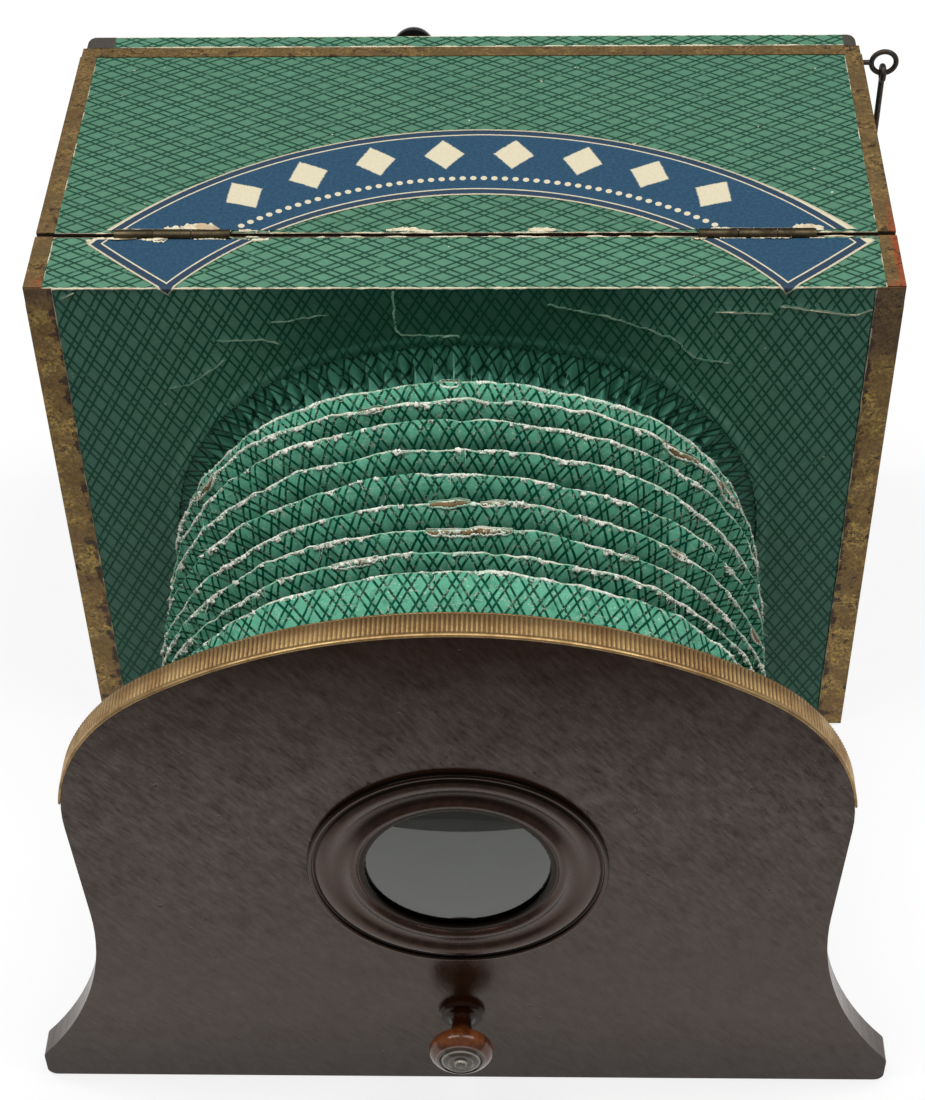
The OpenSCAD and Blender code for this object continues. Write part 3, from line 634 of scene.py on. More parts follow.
def make_piece(name, points, faces, material, **attributes):
    """A smooth mesh object from points and faces, with point attributes."""
    mesh = bpy.data.meshes.new(name)
    mesh.from_pydata(np.reshape(points, (-1, 3)).tolist(), [], [tuple(face) for face in faces])
    for key, values in attributes.items():
        values = np.asarray(values, np.float32)
        flat = values.shape[-1] == 3 and values.ndim > 1
        layer = mesh.attributes.new(key, "FLOAT_VECTOR" if flat else "FLOAT", "POINT")
        layer.data.foreach_set("vector" if flat else "value", values.ravel())
    mesh.polygons.foreach_set("use_smooth", [True] * len(mesh.polygons))
    mesh.materials.append(material)
    mesh.update()
    piece = bpy.data.objects.new(name, mesh)
    bpy.context.scene.collection.objects.link(piece)
    return piece


def stack(x, y, z):
    """Points from their three parts, each a number or an array."""
    return np.stack(np.broadcast_arrays(x, y, z), -1)


def grid_faces(rows, cols, first=0):
    """Quads between rows of points."""
    i, j = np.mgrid[0:rows - 1, 0:cols - 1]
    a = first + i * cols + j
    return np.stack([a, a + 1, a + cols + 1, a + cols], -1).reshape(-1, 4)


def make_sheet(name, rows, material, **attributes):
    """A smooth piece from rows of points."""
    rows = np.asarray(rows)
    return make_piece(name, rows, grid_faces(*rows.shape[:2]), material, **attributes)


def settle(piece, body, replaced=(), folds=False):
    """Makes a piece move with a body after hiding the parts it replaces; if it folds, it gets a mesh of its
    own.
    """
    if replaced:
        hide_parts(*replaced)
    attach(piece, body)
    if folds:
        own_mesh(piece)
    return piece


def line(a, b, n):
    return np.linspace(a, b, n, endpoint=False)


def arc(centre, r, a0, a1, n):
    turn = np.linspace(a0, a1, n, endpoint=False)
    return np.stack([centre[0] + r * np.cos(turn), centre[1] + r * np.sin(turn)], -1)


def section(t, fine=1):
    """Points and outward normals of the bellows' section over its ridges.

    They run from the middle of the underside up the right and down the left; t is the share of the way to
    the lens board.
    """
    half_w = ARCH_HALF_W - FRONT_NARROW * t
    crown = (0, ARCH_TOP + FRONT_RISE * t - ARCH_CROWN_R)
    sx = half_w - ARCH_SHOULDER_R
    sz = crown[1] + math.sqrt((ARCH_CROWN_R - ARCH_SHOULDER_R) ** 2 - sx * sx)
    turn = math.atan2(sz - crown[1], sx)
    foot = (half_w - ARCH_FOOT_R, ARCH_FOOT_Z + ARCH_FOOT_R)

    def half(off):
        return np.vstack([
            line((0, ARCH_FOOT_Z - off), (foot[0], ARCH_FOOT_Z - off), UNDER_STEPS * fine),
            arc(foot, ARCH_FOOT_R + off, -math.pi / 2, 0, FOOT_STEPS * fine),
            line((half_w + off, foot[1]), (half_w + off, sz), WALL_STEPS * fine),
            arc((sx, sz), ARCH_SHOULDER_R + off, 0, turn, SHOULDER_STEPS * fine),
            arc(crown, ARCH_CROWN_R + off, turn, math.pi / 2, CROWN_STEPS * fine),
            [(0, ARCH_TOP + FRONT_RISE * t + off)],
        ])

    right = half(0)
    out = (half(MM) - right) / MM
    left = right[-2::-1] * (-1, 1)
    return np.vstack([right, left]), np.vstack([out, out[-2::-1] * (-1, 1)])


def run_length(points):
    return np.concatenate([[0], np.cumsum(np.linalg.norm(np.diff(points, axis=0), axis=1))])


def tube_point(t_points, d, off):
    """Places points of the section at distance d from the box and off outside the ridges."""
    shape, out = t_points
    return stack(shape[:, 0] + out[:, 0] * off, FRONT_Y - d, shape[:, 1] + out[:, 1] * off)


def fold_at(i):
    """Distance of ridge i from the box."""
    u = i / (FOLD_COUNT - 1)
    span = BELLOWS_LEN - FIRST_FOLD - LAST_FOLD
    return (FIRST_FOLD + span * u + FOLD_SWAY * math.sin(math.pi * u)
            - FOLD_BUNCH * math.sin(2 * math.pi * u))


FOLDS = [fold_at(i) for i in range(FOLD_COUNT)]
SHAPE = section(0.5)
ROUND = run_length(SHAPE[0])
ROUND -= ROUND[-1] / 2


def ridge_sway(i):
    """How ridge i wanders along the tube and in and out, at each point of the section."""
    near_crown = np.exp(-(ROUND / CROWN_REACH) ** 2)
    along = (0.75 * wander(ROUND, 19 * MM, 40 + i) + 0.4 * wander(ROUND, 4.5 * MM, 60 + i)
             + 0.22 * wander(ROUND, 2.1 * MM, 120 + i)) * MM
    out = (0.4 * wander(ROUND, 8 * MM, 80 + i) + 0.22 * wander(ROUND, 2.3 * MM, 100 + i)) * MM
    sunk = 2.3 * MM if i == 0 else 0.65 * MM
    return along + CROWN_SHIFT[i] * MM * near_crown, out - sunk


def knots():
    """Creases of the paper along the tube: distance, height and whether it is a ridge."""
    flat = np.zeros(len(ROUND))
    yield COLLAR_T + flat, -FOLD_DEPTH - 1.5 * MM + flat, False
    for i in range(FOLD_COUNT):
        along, out = ridge_sway(i)
        yield FOLDS[i] + along, out, True
        if i < FOLD_COUNT - 1:
            dip = 0.4 * MM * wander(ROUND, 15 * MM, 140 + i)
            yield (FOLDS[i] + FOLDS[i + 1]) / 2 + dip, -VALLEYS[i] * MM + dip, False
    yield BELLOWS_LEN - COLLAR_T + flat, -FOLD_DEPTH + flat, False


KNOTS = list(knots())

# Shares of the way from one crease to the next, how roundly the paper dips, and the width rubbed on a ridge
STEPS = (0, 0.03, 0.08, 0.17, 0.3, 0.45, 0.6, 0.75, 0.88)
ROUNDING = 1.25
FIRST_ROUNDING = 1.7
RUBBED_W = 0.8 * MM


def make_bellows(material, lining):
    """The folded paper: it rounds over each ridge, dips into each valley and is crumpled all over."""
    rows, papers, worns = [], [], []
    # Painted shade in the valleys, strongest near the crown, carried in the paper attribute's third part
    valley_shade = 0.4 + 0.6 * np.exp(-(ROUND / (1.7 * CROWN_REACH)) ** 2)
    v = 0.0
    ridge = -1
    for a, b in zip(KNOTS, KNOTS[1:]):
        ridge += b[2]
        torn = np.clip(FRAY[max(ridge, 0)] + 0.4 * wander(ROUND, 6.5 * MM, 170 + ridge), 0, 1)
        length = math.hypot(np.mean(b[0] - a[0]), np.mean(b[1] - a[1]))
        top = a[1] if a[2] else b[1]
        for step in STEPS:
            d = a[0] + (b[0] - a[0]) * step
            from_ridge = (step if a[2] else 1 - step) * length
            middle = math.sin(math.pi * step)
            at = v + step * length
            dent = 0.6 * crumple(ROUND, 0 * ROUND + v, 7 * MM, 1)
            dent += 0.45 * crumple(ROUND, 0 * ROUND + 0.2 * at, 2.6 * MM, 2)
            if ridge == 0 and b[2]:
                dip = step ** FIRST_ROUNDING
            else:
                dip = step ** ROUNDING if a[2] else 1 - (1 - step) ** ROUNDING
            off = a[1] + (b[1] - a[1]) * dip + (0.1 + dent) * MM * middle
            rows.append(tube_point(section(np.mean(d) / BELLOWS_LEN), d, off))
            papers.append(stack(ROUND, at, 0.1 * valley_shade * np.clip(top - off, 0, 1)))
            worns.append(torn * math.exp(-(from_ridge / RUBBED_W) ** 2))
        v += length
    d, off, _ = KNOTS[-1]
    rows.append(tube_point(section(1), d, off))
    papers.append(stack(ROUND, v, 0))
    worns.append(0 * ROUND)
    piece = make_sheet("bellows_paper", rows, material, paper=papers, worn=worns)
    piece.data.materials.append(lining)
    thicken(piece, 0.2 * MM).modifiers["thickness"].material_offset = 1
    return settle(piece, "case_body", ["bellows"], folds=True)


# Steps of the torn edges, and how much finer the ridges' steps are than the paper's
SCRAP_STEP = 0.3 * MM
FINE = 3
FINE_ROUND = run_length(section(0.5, FINE)[0])
FINE_ROUND -= FINE_ROUND[-1] / 2


def ridge_line(i):
    """Ridge i at fine steps round the tube: section, distance from the box and height."""
    along, out = (np.interp(FINE_ROUND, ROUND, values) for values in ridge_sway(i))
    return section(FOLDS[i] / BELLOWS_LEN, FINE), FOLDS[i] + along, out


RIDGES = [ridge_line(i) for i in range(FOLD_COUNT)]
SLOPE_D, SLOPE_OFF = 0.6, 0.8


def slope_size(i, ahead):
    """Length along the tube and depth of the slope ahead of ridge i, or behind it, at fine steps round it."""
    ridge, valley = KNOTS[2 * i + 1], KNOTS[2 * i + 2 if ahead else 2 * i]
    return [np.interp(FINE_ROUND, ROUND, np.abs(ridge[k] - valley[k])) for k in (0, 1)]


SLOPES = [[slope_size(i, ahead) for ahead in (False, True)] for i in range(FOLD_COUNT)]


def by_ridge(i, down, lift, part=slice(None)):
    """Points by ridge i: down its front slope, or its back slope if negative, and lifted off the paper."""
    (shape, out), d, off = RIDGES[i]
    side = np.sign(down)
    behind, ahead = SLOPES[i]
    run, deep = (np.where(side > 0, ahead[k][part], behind[k][part]) for k in (0, 1))
    share = np.abs(down) / np.hypot(run, deep)
    d = d[part] + side * run * share + SLOPE_OFF * lift * side
    off = off[part] - deep * share ** ROUNDING + np.where(side == 0, 1.0, SLOPE_D) * lift
    return tube_point((shape[part], out[part]), d, off)


class Scraps:
    """Strips of one paper that become one piece."""

    def __init__(self):
        self.points, self.faces, self.count = [], [], 0

    def add(self, rows):
        rows = np.asarray(rows, float)
        self.points.append(rows.reshape(-1, 3))
        self.faces.append(grid_faces(rows.shape[0], rows.shape[1], self.count))
        self.count += rows.shape[0] * rows.shape[1]

    def piece(self, name, material, thick):
        made = make_piece(name, np.vstack(self.points), np.vstack(self.faces), material)
        return thicken(made, thick)


def thicken(piece, thick):
    """Gives thin paper a thickness."""
    solid = piece.modifiers.new("thickness", "SOLIDIFY")
    solid.thickness, solid.offset = thick, 0.0
    return piece


def weld(piece, reach):
    """Joins points that lie within reach."""
    piece.modifiers.new("weld", "WELD").merge_threshold = reach


def in_tear(i):
    """True where ridge i is torn open."""
    torn = np.zeros(len(FINE_ROUND), bool)
    for ridge, start, end in TEARS:
        if ridge == i:
            torn |= (FINE_ROUND > -end * MM) & (FINE_ROUND < -start * MM)
    return torn


def wear_of(i):
    """How worn ridge i is at fine steps, from 0 to 1."""
    return np.clip(FRAY[i] - 0.42 + 0.75 * wander(FINE_ROUND, 6.5 * MM, 170 + i)
                   + 0.45 * wander(FINE_ROUND, 1.7 * MM, 190 + i), 0, 1)


def fray_strips(scraps, i, layer):
    """Ragged pale paper along ridge i, wide where it is badly worn and sunk where it is sound."""
    rng = np.random.default_rng(200 + 20 * i + 5 * layer)
    worn = wear_of(i) * ~in_tear(i)
    sound = rng.uniform(0, 1, len(worn)) < 0.3
    rag = np.where(sound, 0.0, 0.25 + 1.6 * worn * rng.uniform(0, 1, len(worn)) ** 2)
    width = worn * rag * MM
    raised = (0.02 + 0.05 * layer + 0.2 * rng.uniform(0, 1, len(worn))) * MM
    lift = np.where(width > 0.07 * MM, raised, -0.03 * MM)
    scraps.add([by_ridge(i, -0.5 * width - 0.01 * MM, 0.6 * lift), by_ridge(i, 0 * width, lift),
                by_ridge(i, 0.5 * width + 0.01 * MM, lift), by_ridge(i, width + 0.02 * MM, 0.7 * lift)])


def fluff(scraps, i):
    """Crumpled scraps of torn paper that cling to ridge i."""
    rng = np.random.default_rng(300 + i)
    worn = wear_of(i) + 0.04
    spots = rng.choice(len(FINE_ROUND), int(560 * FRAY[i]), p=worn / worn.sum())
    for ridge, at in TUFTS:
        if ridge == i:
            spots = np.append(spots, np.argmin(np.abs(FINE_ROUND + at * MM)) + rng.integers(-5, 6, 9))
    (_, out), _, _ = RIDGES[i]
    depth = (0.1 + 1.2 * worn * rng.uniform(0, 1, len(FINE_ROUND)) ** 2) * MM
    roots = by_ridge(i, depth, 0.1 * MM)
    for spot in np.clip(spots, 0, len(FINE_ROUND) - 1):
        normal = np.array([out[spot, 0], 0, out[spot, 1]])
        side = np.cross(normal, (0, 1, 0))
        down = np.array([0, -SLOPE_D, 0]) - normal * SLOPE_OFF
        size = (0.26 + 0.75 * rng.uniform(0, 1) ** 3) * MM
        a, b = np.meshgrid(np.linspace(-0.7, 0.7, 4), np.linspace(-0.3, 0.8, 3))
        sheet = (roots[spot] + (a[..., None] * side + b[..., None] * down) * size
                 + rng.normal(0, 0.24 * size, (3, 4, 3)))
        scraps.add(sheet + (normal * 0.43 + np.array([0, -0.9, 0])) * 0.4 * size)


def tear(cores, lips, i, start, end, seed):
    """A ridge torn open: the brown inside of the board between two ragged cream lips."""
    part = np.flatnonzero((FINE_ROUND > -end * MM) & (FINE_ROUND < -start * MM))
    run = FINE_ROUND[part]
    share = np.linspace(-1, 1, len(part))
    rng = np.random.default_rng(seed)
    rag = 0.55 * rng.uniform(0, 1, len(part)) + 0.45 * (0.5 + 0.5 * wander(run, 1.4 * MM, seed))
    widest = min(1, 0.3 + (end - start) / 13)
    half = (0.3 + 1.15 * np.sqrt(1 - share ** 2)) * (0.75 + 0.35 * rag) * widest * MM
    bend = 0.5 * half + 0.3 * MM * wander(run, 3 * MM, seed + 1)
    low, high = 0.12 * MM + 0 * run, 0.3 * MM + 0.35 * MM * rag
    cores.add([by_ridge(i, bend - half, low, part), by_ridge(i, bend - 0.3 * half, low, part),
               by_ridge(i, bend + 0.3 * half, low, part), by_ridge(i, bend + half, low, part)])
    for side in (-1, 1):
        inner = bend + side * half * (0.62 + 0.34 * rag)
        outer = bend + side * (half + (0.3 + 0.5 * rag[::-1]) * MM)
        lips.add([by_ridge(i, inner, high, part), by_ridge(i, (inner + outer) / 2, 0.8 * high, part),
                  by_ridge(i, outer, 0.3 * high, part)])


def make_fibres(name, roots, ways, bends, lengths, thick, material):
    """Fine tapering threads, each from its root along its way and bending."""
    share = np.array([0, 0.35, 0.7, 1.0])
    spine = (roots[:, None] + ways[:, None] * (lengths[:, None] * share)[..., None]
             + bends[:, None] * (lengths[:, None] * share ** 2)[..., None])
    side = np.cross(ways, (0.31, 0.52, 0.8))
    side /= np.linalg.norm(side, axis=1)[:, None]
    other = np.cross(ways, side)
    turn = 2 * math.pi / 3 * np.arange(3)
    ring = np.cos(turn)[:, None] * side[:, None] + np.sin(turn)[:, None] * other[:, None]
    radius = thick * (1 - 0.8 * share)
    points = spine[:, :, None] + ring[:, None] * radius[None, :, None, None]
    one = [(3 * k + j, 3 * k + (j + 1) % 3, 3 * k + 3 + (j + 1) % 3, 3 * k + 3 + j)
           for k in range(3) for j in range(3)]
    quads = (np.arange(len(roots))[:, None, None] * 12 + np.array(one)[None]).reshape(-1, 4).tolist()
    tips = [(12 * n + 9, 12 * n + 10, 12 * n + 11) for n in range(len(roots))]
    return make_piece(name, points, quads + tips, material)


def ridge_fibres(material):
    """Threads that hang and stand out of the worn ridges, in clusters."""
    rng = np.random.default_rng(7)
    roots, ways, lengths = [], [], []
    for i in range(FOLD_COUNT):
        worn = wear_of(i) + 0.03
        spots = np.repeat(rng.choice(len(FINE_ROUND), int(75 * FRAY[i]), p=worn / worn.sum()), 6)
        tufts = [np.repeat(np.argmin(np.abs(FINE_ROUND + at * MM)), 24) for ridge, at in TUFTS if ridge == i]
        spots = np.concatenate([spots, *tufts]) + rng.integers(-3, 4, len(spots) + sum(map(len, tufts)))
        spots = np.clip(spots, 0, len(FINE_ROUND) - 1).astype(int)
        (_, out), _, _ = RIDGES[i]
        roots.append(by_ridge(i, 0.1 * MM + 0 * FINE_ROUND, 0 * FINE_ROUND)[spots])
        normal = stack(out[spots, 0], 0, out[spots, 1])
        side = np.cross(normal, (0, 1, 0))
        one = (len(spots), 1)
        way = (normal * rng.uniform(-0.7, 0.5, one) + side * rng.uniform(-0.8, 0.8, one)
               + np.array([0, -1, 0]) * rng.uniform(0.3, 1.0, one))
        ways.append(way / np.linalg.norm(way, axis=1)[:, None])
        lengths.append((0.4 + 2.4 * rng.uniform(0, 1, len(spots)) ** 3) * MM)
    roots, ways, lengths = np.vstack(roots), np.vstack(ways), np.concatenate(lengths)
    bends = rng.normal(0, 0.4, roots.shape) + (0, -0.05, -0.2)
    piece = make_fibres("ridge_fibres", roots, ways, bends, lengths, 0.075 * MM, material)
    return settle(piece, "case_body", folds=True)


def worn_ridges(cream, kraft):
    """Everything torn on the bellows' ridges."""
    frayed, cores, lips = Scraps(), Scraps(), Scraps()
    for i in range(FOLD_COUNT):
        for layer in range(2):
            fray_strips(frayed, i, layer)
        fluff(frayed, i)
    for n, (i, start, end) in enumerate(TEARS):
        tear(cores, lips, i, start, end, 400 + 3 * n)
    for name, scraps, material in (("ridge_fray", frayed, cream), ("tear_cores", cores, kraft),
                                   ("tear_lips", lips, cream)):
        settle(scraps.piece(name, material, 0.05 * MM), "case_body", folds=True)
    ridge_fibres(cream)


def box_rim(material):
    """The gathered end of the bellows: pleats that spread from under the front paper to the first fold."""
    shape = section(0, FINE)
    sway = 1.0 * wander(FINE_ROUND, 13 * MM, 31) + 0.55 * wander(FINE_ROUND, 4.1 * MM, 32)
    run = (FINE_ROUND + sway * MM) / PLEAT_PITCH
    number = np.floor(run - run.min()).astype(int)
    phase = run % 1.0
    each = np.random.default_rng(34).uniform(0.6, 1.0, (2, number.max() + 1))
    rise, fall = phase / PLEAT_CREST, (1 - phase) / (1 - PLEAT_CREST)
    wave = each[0, number] * np.where(phase < PLEAT_CREST, rise, fall)
    edge = np.exp(-((phase - PLEAT_CREST) / 0.07) ** 2) * (2.4 * each[1, number] - 1.5)
    share = np.linspace(0, 1, 26)
    knots_at = np.linspace(0, 1, len(CREST_LINE))
    crest, valley = (np.stack([np.interp(share, knots_at, np.array(path)[:, k]) for k in (0, 1)], -1) * MM
                     for path in (CREST_LINE, VALLEY_LINE))
    rows, papers, worns = [], [], []
    near_crown = np.exp(-(FINE_ROUND / (2 * CROWN_REACH)) ** 4)
    for s, top, low in zip(share, crest, valley):
        d, off = (low[k] + (top[k] - low[k]) * wave * (near_crown + (1 - near_crown) * s) for k in (0, 1))
        rows.append(tube_point(shape, d, off))
        papers.append(stack(FINE_ROUND, 16 * MM * s, 0))
        worns.append(np.clip(edge, 0, 1) * math.sin(math.pi * s))
    piece = make_sheet("box_rim", rows, material, paper=papers, worn=worns)
    return settle(thicken(piece, 0.1 * MM), "case_body", ["bellows_box_collar"], folds=True)


def board_rim(material):
    """The bellows' other end, turned out and glued on the back of the lens board, with small pleats."""
    shape = section(1, FINE)
    run = FINE_ROUND + 1.1 * MM * wander(FINE_ROUND, 13 * MM, 31)
    pleat = 0.5 + 0.5 * np.sin(2 * math.pi * run / PLEAT_PITCH)
    rows, papers = [], []
    for off in np.linspace(RIM_OUT, -RIM_IN, 16):
        share = (RIM_OUT - off) / (RIM_OUT + RIM_IN)
        lift = 0.35 * MM * min(1, 8 * share + 0.6) + 0.9 * MM * share * pleat
        rows.append(tube_point(shape, BELLOWS_LEN - lift, off + 0 * FINE_ROUND))
        papers.append(stack(FINE_ROUND, off, 0))
    worn = np.zeros((len(rows), len(FINE_ROUND)))
    piece = make_sheet("board_rim", rows, material, paper=papers, worn=worn)
    return settle(thicken(piece, 0.08 * MM), "lens_body", ["bellows_board_collar"])


def inside_outline(outline, x, z):
    """True for points inside a closed outline, by counting crossings."""
    inside = np.zeros(x.shape, bool)
    for (x0, z0), (x1, z1) in zip(outline, np.roll(outline, -1, 0)):
        if z0 != z1:
            crosses = (z0 > z) != (z1 > z)
            inside ^= crosses & (x < x0 + (z - z0) * (x1 - x0) / (z1 - z0))
    return inside


def distance_to(points, x, z):
    """Distance to a line through points."""
    best = np.full(x.shape, 1.0)
    for (x0, z0), (x1, z1) in zip(points, points[1:]):
        wide, high = x1 - x0, z1 - z0
        share = np.clip(((x - x0) * wide + (z - z0) * high) / (wide ** 2 + high ** 2), 0, 1)
        best = np.minimum(best, np.hypot(x - x0 - share * wide, z - z0 - share * high))
    return best


def front_paper(material):
    """The paper on the box's front, with its creases, the patch at its top edge and the bellows' opening."""
    step = 0.5 * MM
    shape, out = section(0)
    across = np.arange(-STRIP_FRONT_X + 0.1 * MM, STRIP_FRONT_X, step)
    x, z = np.meshgrid(across, np.arange(0.5 * MM, TOP_Z, step))
    height = 0.22 * MM + 0.12 * MM * crumple(x, z, 26 * MM, 3) + 0.06 * MM * crumple(x, z, 7 * MM, 4)
    worn = np.zeros(x.shape)
    shake = 0.5 * MM * crumple(x, z, 2.5 * MM, 5), 0.5 * MM * crumple(x, z, 2.5 * MM, 6)
    for points, high, pale in CREASES:
        away = distance_to(np.array(points) * MM, x + shake[0], z + shake[1])
        height += high * MM * np.exp(-(away / (1.2 * MM)) ** 2)
        worn = np.maximum(worn, min(1, 0.2 + pale) * np.exp(-(away / (0.42 * MM)) ** 2))
    patch = (x > -17.5 * MM) & (z > 149 * MM)
    height += 0.1 * MM * patch * np.clip(1.5 - x / (12 * MM), 0, 1)
    off = distance_to(np.vstack([shape[::3], shape[:1]]), x, z) * np.where(inside_outline(shape, x, z), -1, 1)
    height += 0.5 * MM * np.clip((RIM_OUT + 1.2 * MM - off) / (1.5 * MM), 0, 1)
    hole = inside_outline(shape - out * FRONT_HOLE, x, z)
    faces = grid_faces(*x.shape)
    faces = faces[~hole.ravel()[faces].any(axis=1)]
    points = stack(x, FRONT_Y - height, z)
    lean = math.radians(2.8)
    # Painted shade over the upper middle of the front, carried in the paper attribute's third part
    painted_shade = 0.52 * MM * np.exp(-(x / (58 * MM)) ** 4) * np.clip((z - 112 * MM) / (22 * MM), 0, 1)
    cos, sin = math.cos(lean), math.sin(lean)
    paper = stack(x * cos + z * sin, z * cos - x * sin, painted_shade)
    used = np.unique(faces)
    fresh = np.zeros(x.size, int)
    fresh[used] = np.arange(len(used))
    piece = make_piece("front_paper", points.reshape(-1, 3)[used], fresh[faces], material,
                       paper=paper.reshape(-1, 3)[used], worn=worn.ravel()[used])
    return settle(piece, "case_body")


def gate(at, pitch, share, seed):
    """1 along about that share of a line, 0 on the rest, with soft ends."""
    value = 0.5 + 0.5 * wander(at, pitch, seed)
    return np.clip((value - 1 + share) * 5, 0, 1)


def vectors(*values):
    return [np.array(v, float) for v in values]


def worn_line(start, end, share, seed):
    """Points at short steps along a line, the run to each of them, and how worn the line is there."""
    length = np.linalg.norm(end - start)
    share_of = np.linspace(0, 1, max(3, int(length / SCRAP_STEP)))[:, None]
    run = share_of[:, 0] * length
    return start + (end - start) * share_of, run, gate(run, 3 * MM, share, seed)


def ragged(run, seed, rng):
    """How far torn paper reaches at each point of a line, from 0 to 1."""
    return 0.25 + 0.25 * wander(run, 1.1 * MM, seed) + 0.5 * rng.uniform(0, 1, len(run)) ** 2


def torn_edge(scraps, start, end, into_a, into_b, width, seed, share):
    """Ragged pale paper over a worn square edge, reaching into the two faces that meet there."""
    start, end, into_a, into_b = vectors(start, end, into_a, into_b)
    points, run, worn = worn_line(start, end, share, seed)
    rng = np.random.default_rng(seed)

    def reach(k):
        return (worn * width * (0.15 + 1.2 * ragged(run, seed + k, rng)) + 0.02 * MM)[:, None]

    a, b = reach(1), reach(2)
    lift = ((0.1 * MM + 0.12 * MM * worn) * (0.6 + 0.5 * wander(run, 2 * MM, seed + 3)) * worn)[:, None]
    scraps.add([points + into_a * a - into_b * 0.03 * MM, points + into_a * 0.5 * a - into_b * lift,
                points - (into_a + into_b) * lift, points + into_b * 0.5 * b - into_a * lift,
                points + into_b * b - into_a * 0.03 * MM])


def torn_line(scraps, start, end, side, up, width, seed, share, bulge=0.12 * MM):
    """A ragged pale line of paper that lies on a face."""
    start, end, side, up = vectors(start, end, side, up)
    points, run, worn = worn_line(start, end, share, seed)
    rag = ragged(run, seed + 1, np.random.default_rng(seed))
    half = (worn * width * (0.2 + 0.6 * rag) + 0.01 * MM)[:, None]
    sway = (0.3 * width * wander(run, 4 * MM, seed + 2))[:, None]
    lift = (bulge * (0.5 + rag) * worn - 0.05 * MM)[:, None]
    middle = points + side * sway
    scraps.add([middle - side * half + up * 0.01 * MM, middle - side * 0.3 * half + up * lift,
                middle + side * 0.4 * half + up * lift, middle + side * half + up * 0.01 * MM])


def flake(scraps, at, along, across, up, length, width, curl, seed):
    """A torn scrap of paper, ragged all round, held at one edge and curling up at the other."""
    rng = np.random.default_rng(seed)
    at, along, across, up = vectors(at, along, across, up)
    cols, rows = 14, 5
    s = np.linspace(-0.5, 0.5, cols)[None, :, None]
    grow = (0.55 + 0.45 * rng.uniform(0, 1, cols))[None, :, None] * (1 - (2 * s) ** 4 * 0.7)
    r = np.linspace(0, 1, rows)[:, None, None]
    rise = curl * r ** 2 * (0.6 + 0.6 * rng.uniform(0, 1, cols))[None, :, None] + 0.12 * MM
    scraps.add(at + along * length * s + across * width * r * grow + up * rise)


def board_outline():
    """The arched edge of the lens board between the band's ends, from the left, and its outward normals."""
    sx = BOARD_HALF_W - BOARD_SHOULDER_R
    crown_z = BOARD_TOP - BOARD_CROWN_R
    sz = crown_z + math.sqrt((BOARD_CROWN_R - BOARD_SHOULDER_R) ** 2 - sx * sx)
    turn = math.atan2(sz - crown_z, sx)
    first = math.asin((BAND_END_Z - sz) / BOARD_SHOULDER_R)
    step = RIB_PITCH / 6
    low = np.arange(first, turn, step / BOARD_SHOULDER_R)
    high = np.arange(turn, math.pi / 2, step / BOARD_CROWN_R)
    way = np.concatenate([low, high])
    centre = np.vstack([np.tile((sx, sz), (len(low), 1)), np.tile((0, crown_z), (len(high), 1))])
    radius = np.concatenate([low * 0 + BOARD_SHOULDER_R, high * 0 + BOARD_CROWN_R])
    out = np.stack([np.cos(way), np.sin(way)], -1)
    right = centre + out * radius[:, None]
    points = np.vstack([right * (-1, 1), right[::-1]])
    return points, np.vstack([out * (-1, 1), out[::-1]])


def make_band(material):
    """Thin brass strip on the board's arched edge, stamped with cross ribs between plain rims."""
    points, out = board_outline()
    run = run_length(points)
    deep = BOARD_BACK_Y - BOARD_FRONT_Y
    away = np.abs(run - run[-1] / 2) / (run[-1] / 2)
    worn = np.clip(0.85 + 0.35 * wander(run, 17 * MM, 51) - 0.4 * away ** 2, 0.2, 1)
    wave = 0.5 + 0.5 * np.cos(2 * math.pi * run / RIB_PITCH)
    rib = BAND_T - 0.34 * MM * worn * (1 - wave) ** 0.8
    flat = BAND_T + 0 * run
    foot = 0.02 * MM + 0 * run
    profile = [(0.0, foot), (0.0, 0.7 * flat), (0.12 * MM, flat), (RIM_W - 0.15 * MM, flat),
               (RIM_W, 0.9 * rib), (RIM_W + 0.25 * MM, rib), (deep / 2, rib), (deep - 0.75 * MM, rib),
               (deep - 0.5 * MM, 0.5 * rib), (deep - 0.4 * MM, 0.25 * flat), (deep - 0.25 * MM, 0.4 * flat),
               (deep - 0.06 * MM, 0.36 * flat), (deep, 0.2 * flat), (deep, foot)]
    rows, grooves = [], []
    for y, high in profile:
        lifted = points + out * high[:, None]
        rows.append(stack(lifted[:, 0], BOARD_FRONT_Y + y - BAND_LIP * (y == 0), lifted[:, 1]))
        ribbed, behind = RIM_W <= y < deep - BACK_RIM_W, y >= deep - BACK_RIM_W
        # groove: dirt in the ribs' hollows, a little darkening on the front rim, and painted shade,
        # strongest, on the rear rim
        grooves.append(worn * (1 - wave) * ribbed + 0.3 * (y < RIM_W) + 0.8 * behind)
    rows.append(rows[0])
    grooves.append(grooves[0])
    piece = make_sheet("ribbed_band", rows, material, groove=grooves)
    weld(piece, 0.001 * MM)
    return settle(piece, "lens_body", ["brass_band"])


def make_lens(material):
    """Ground lens, turned about its axis: a shallow dome ahead and a flat back."""
    low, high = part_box("lens")
    radius = (high.x - low.x) / 2
    reach = np.linspace(0.001, 1, 26) * radius
    drop = LENS_FACE_R - np.sqrt(LENS_FACE_R ** 2 - reach ** 2)
    outline = [*zip(reach, low.y + drop), *zip(reach[::-1], high.y + 0 * drop)]
    turn = np.linspace(2 * math.pi, 0, 97)
    rows = [[(r * math.cos(a), y, LENS_Z + r * math.sin(a)) for a in turn] for r, y in outline]
    piece = make_sheet("ground_lens", rows, material)
    weld(piece, 0.003 * MM)
    return settle(piece, "lens_body", ["lens"])


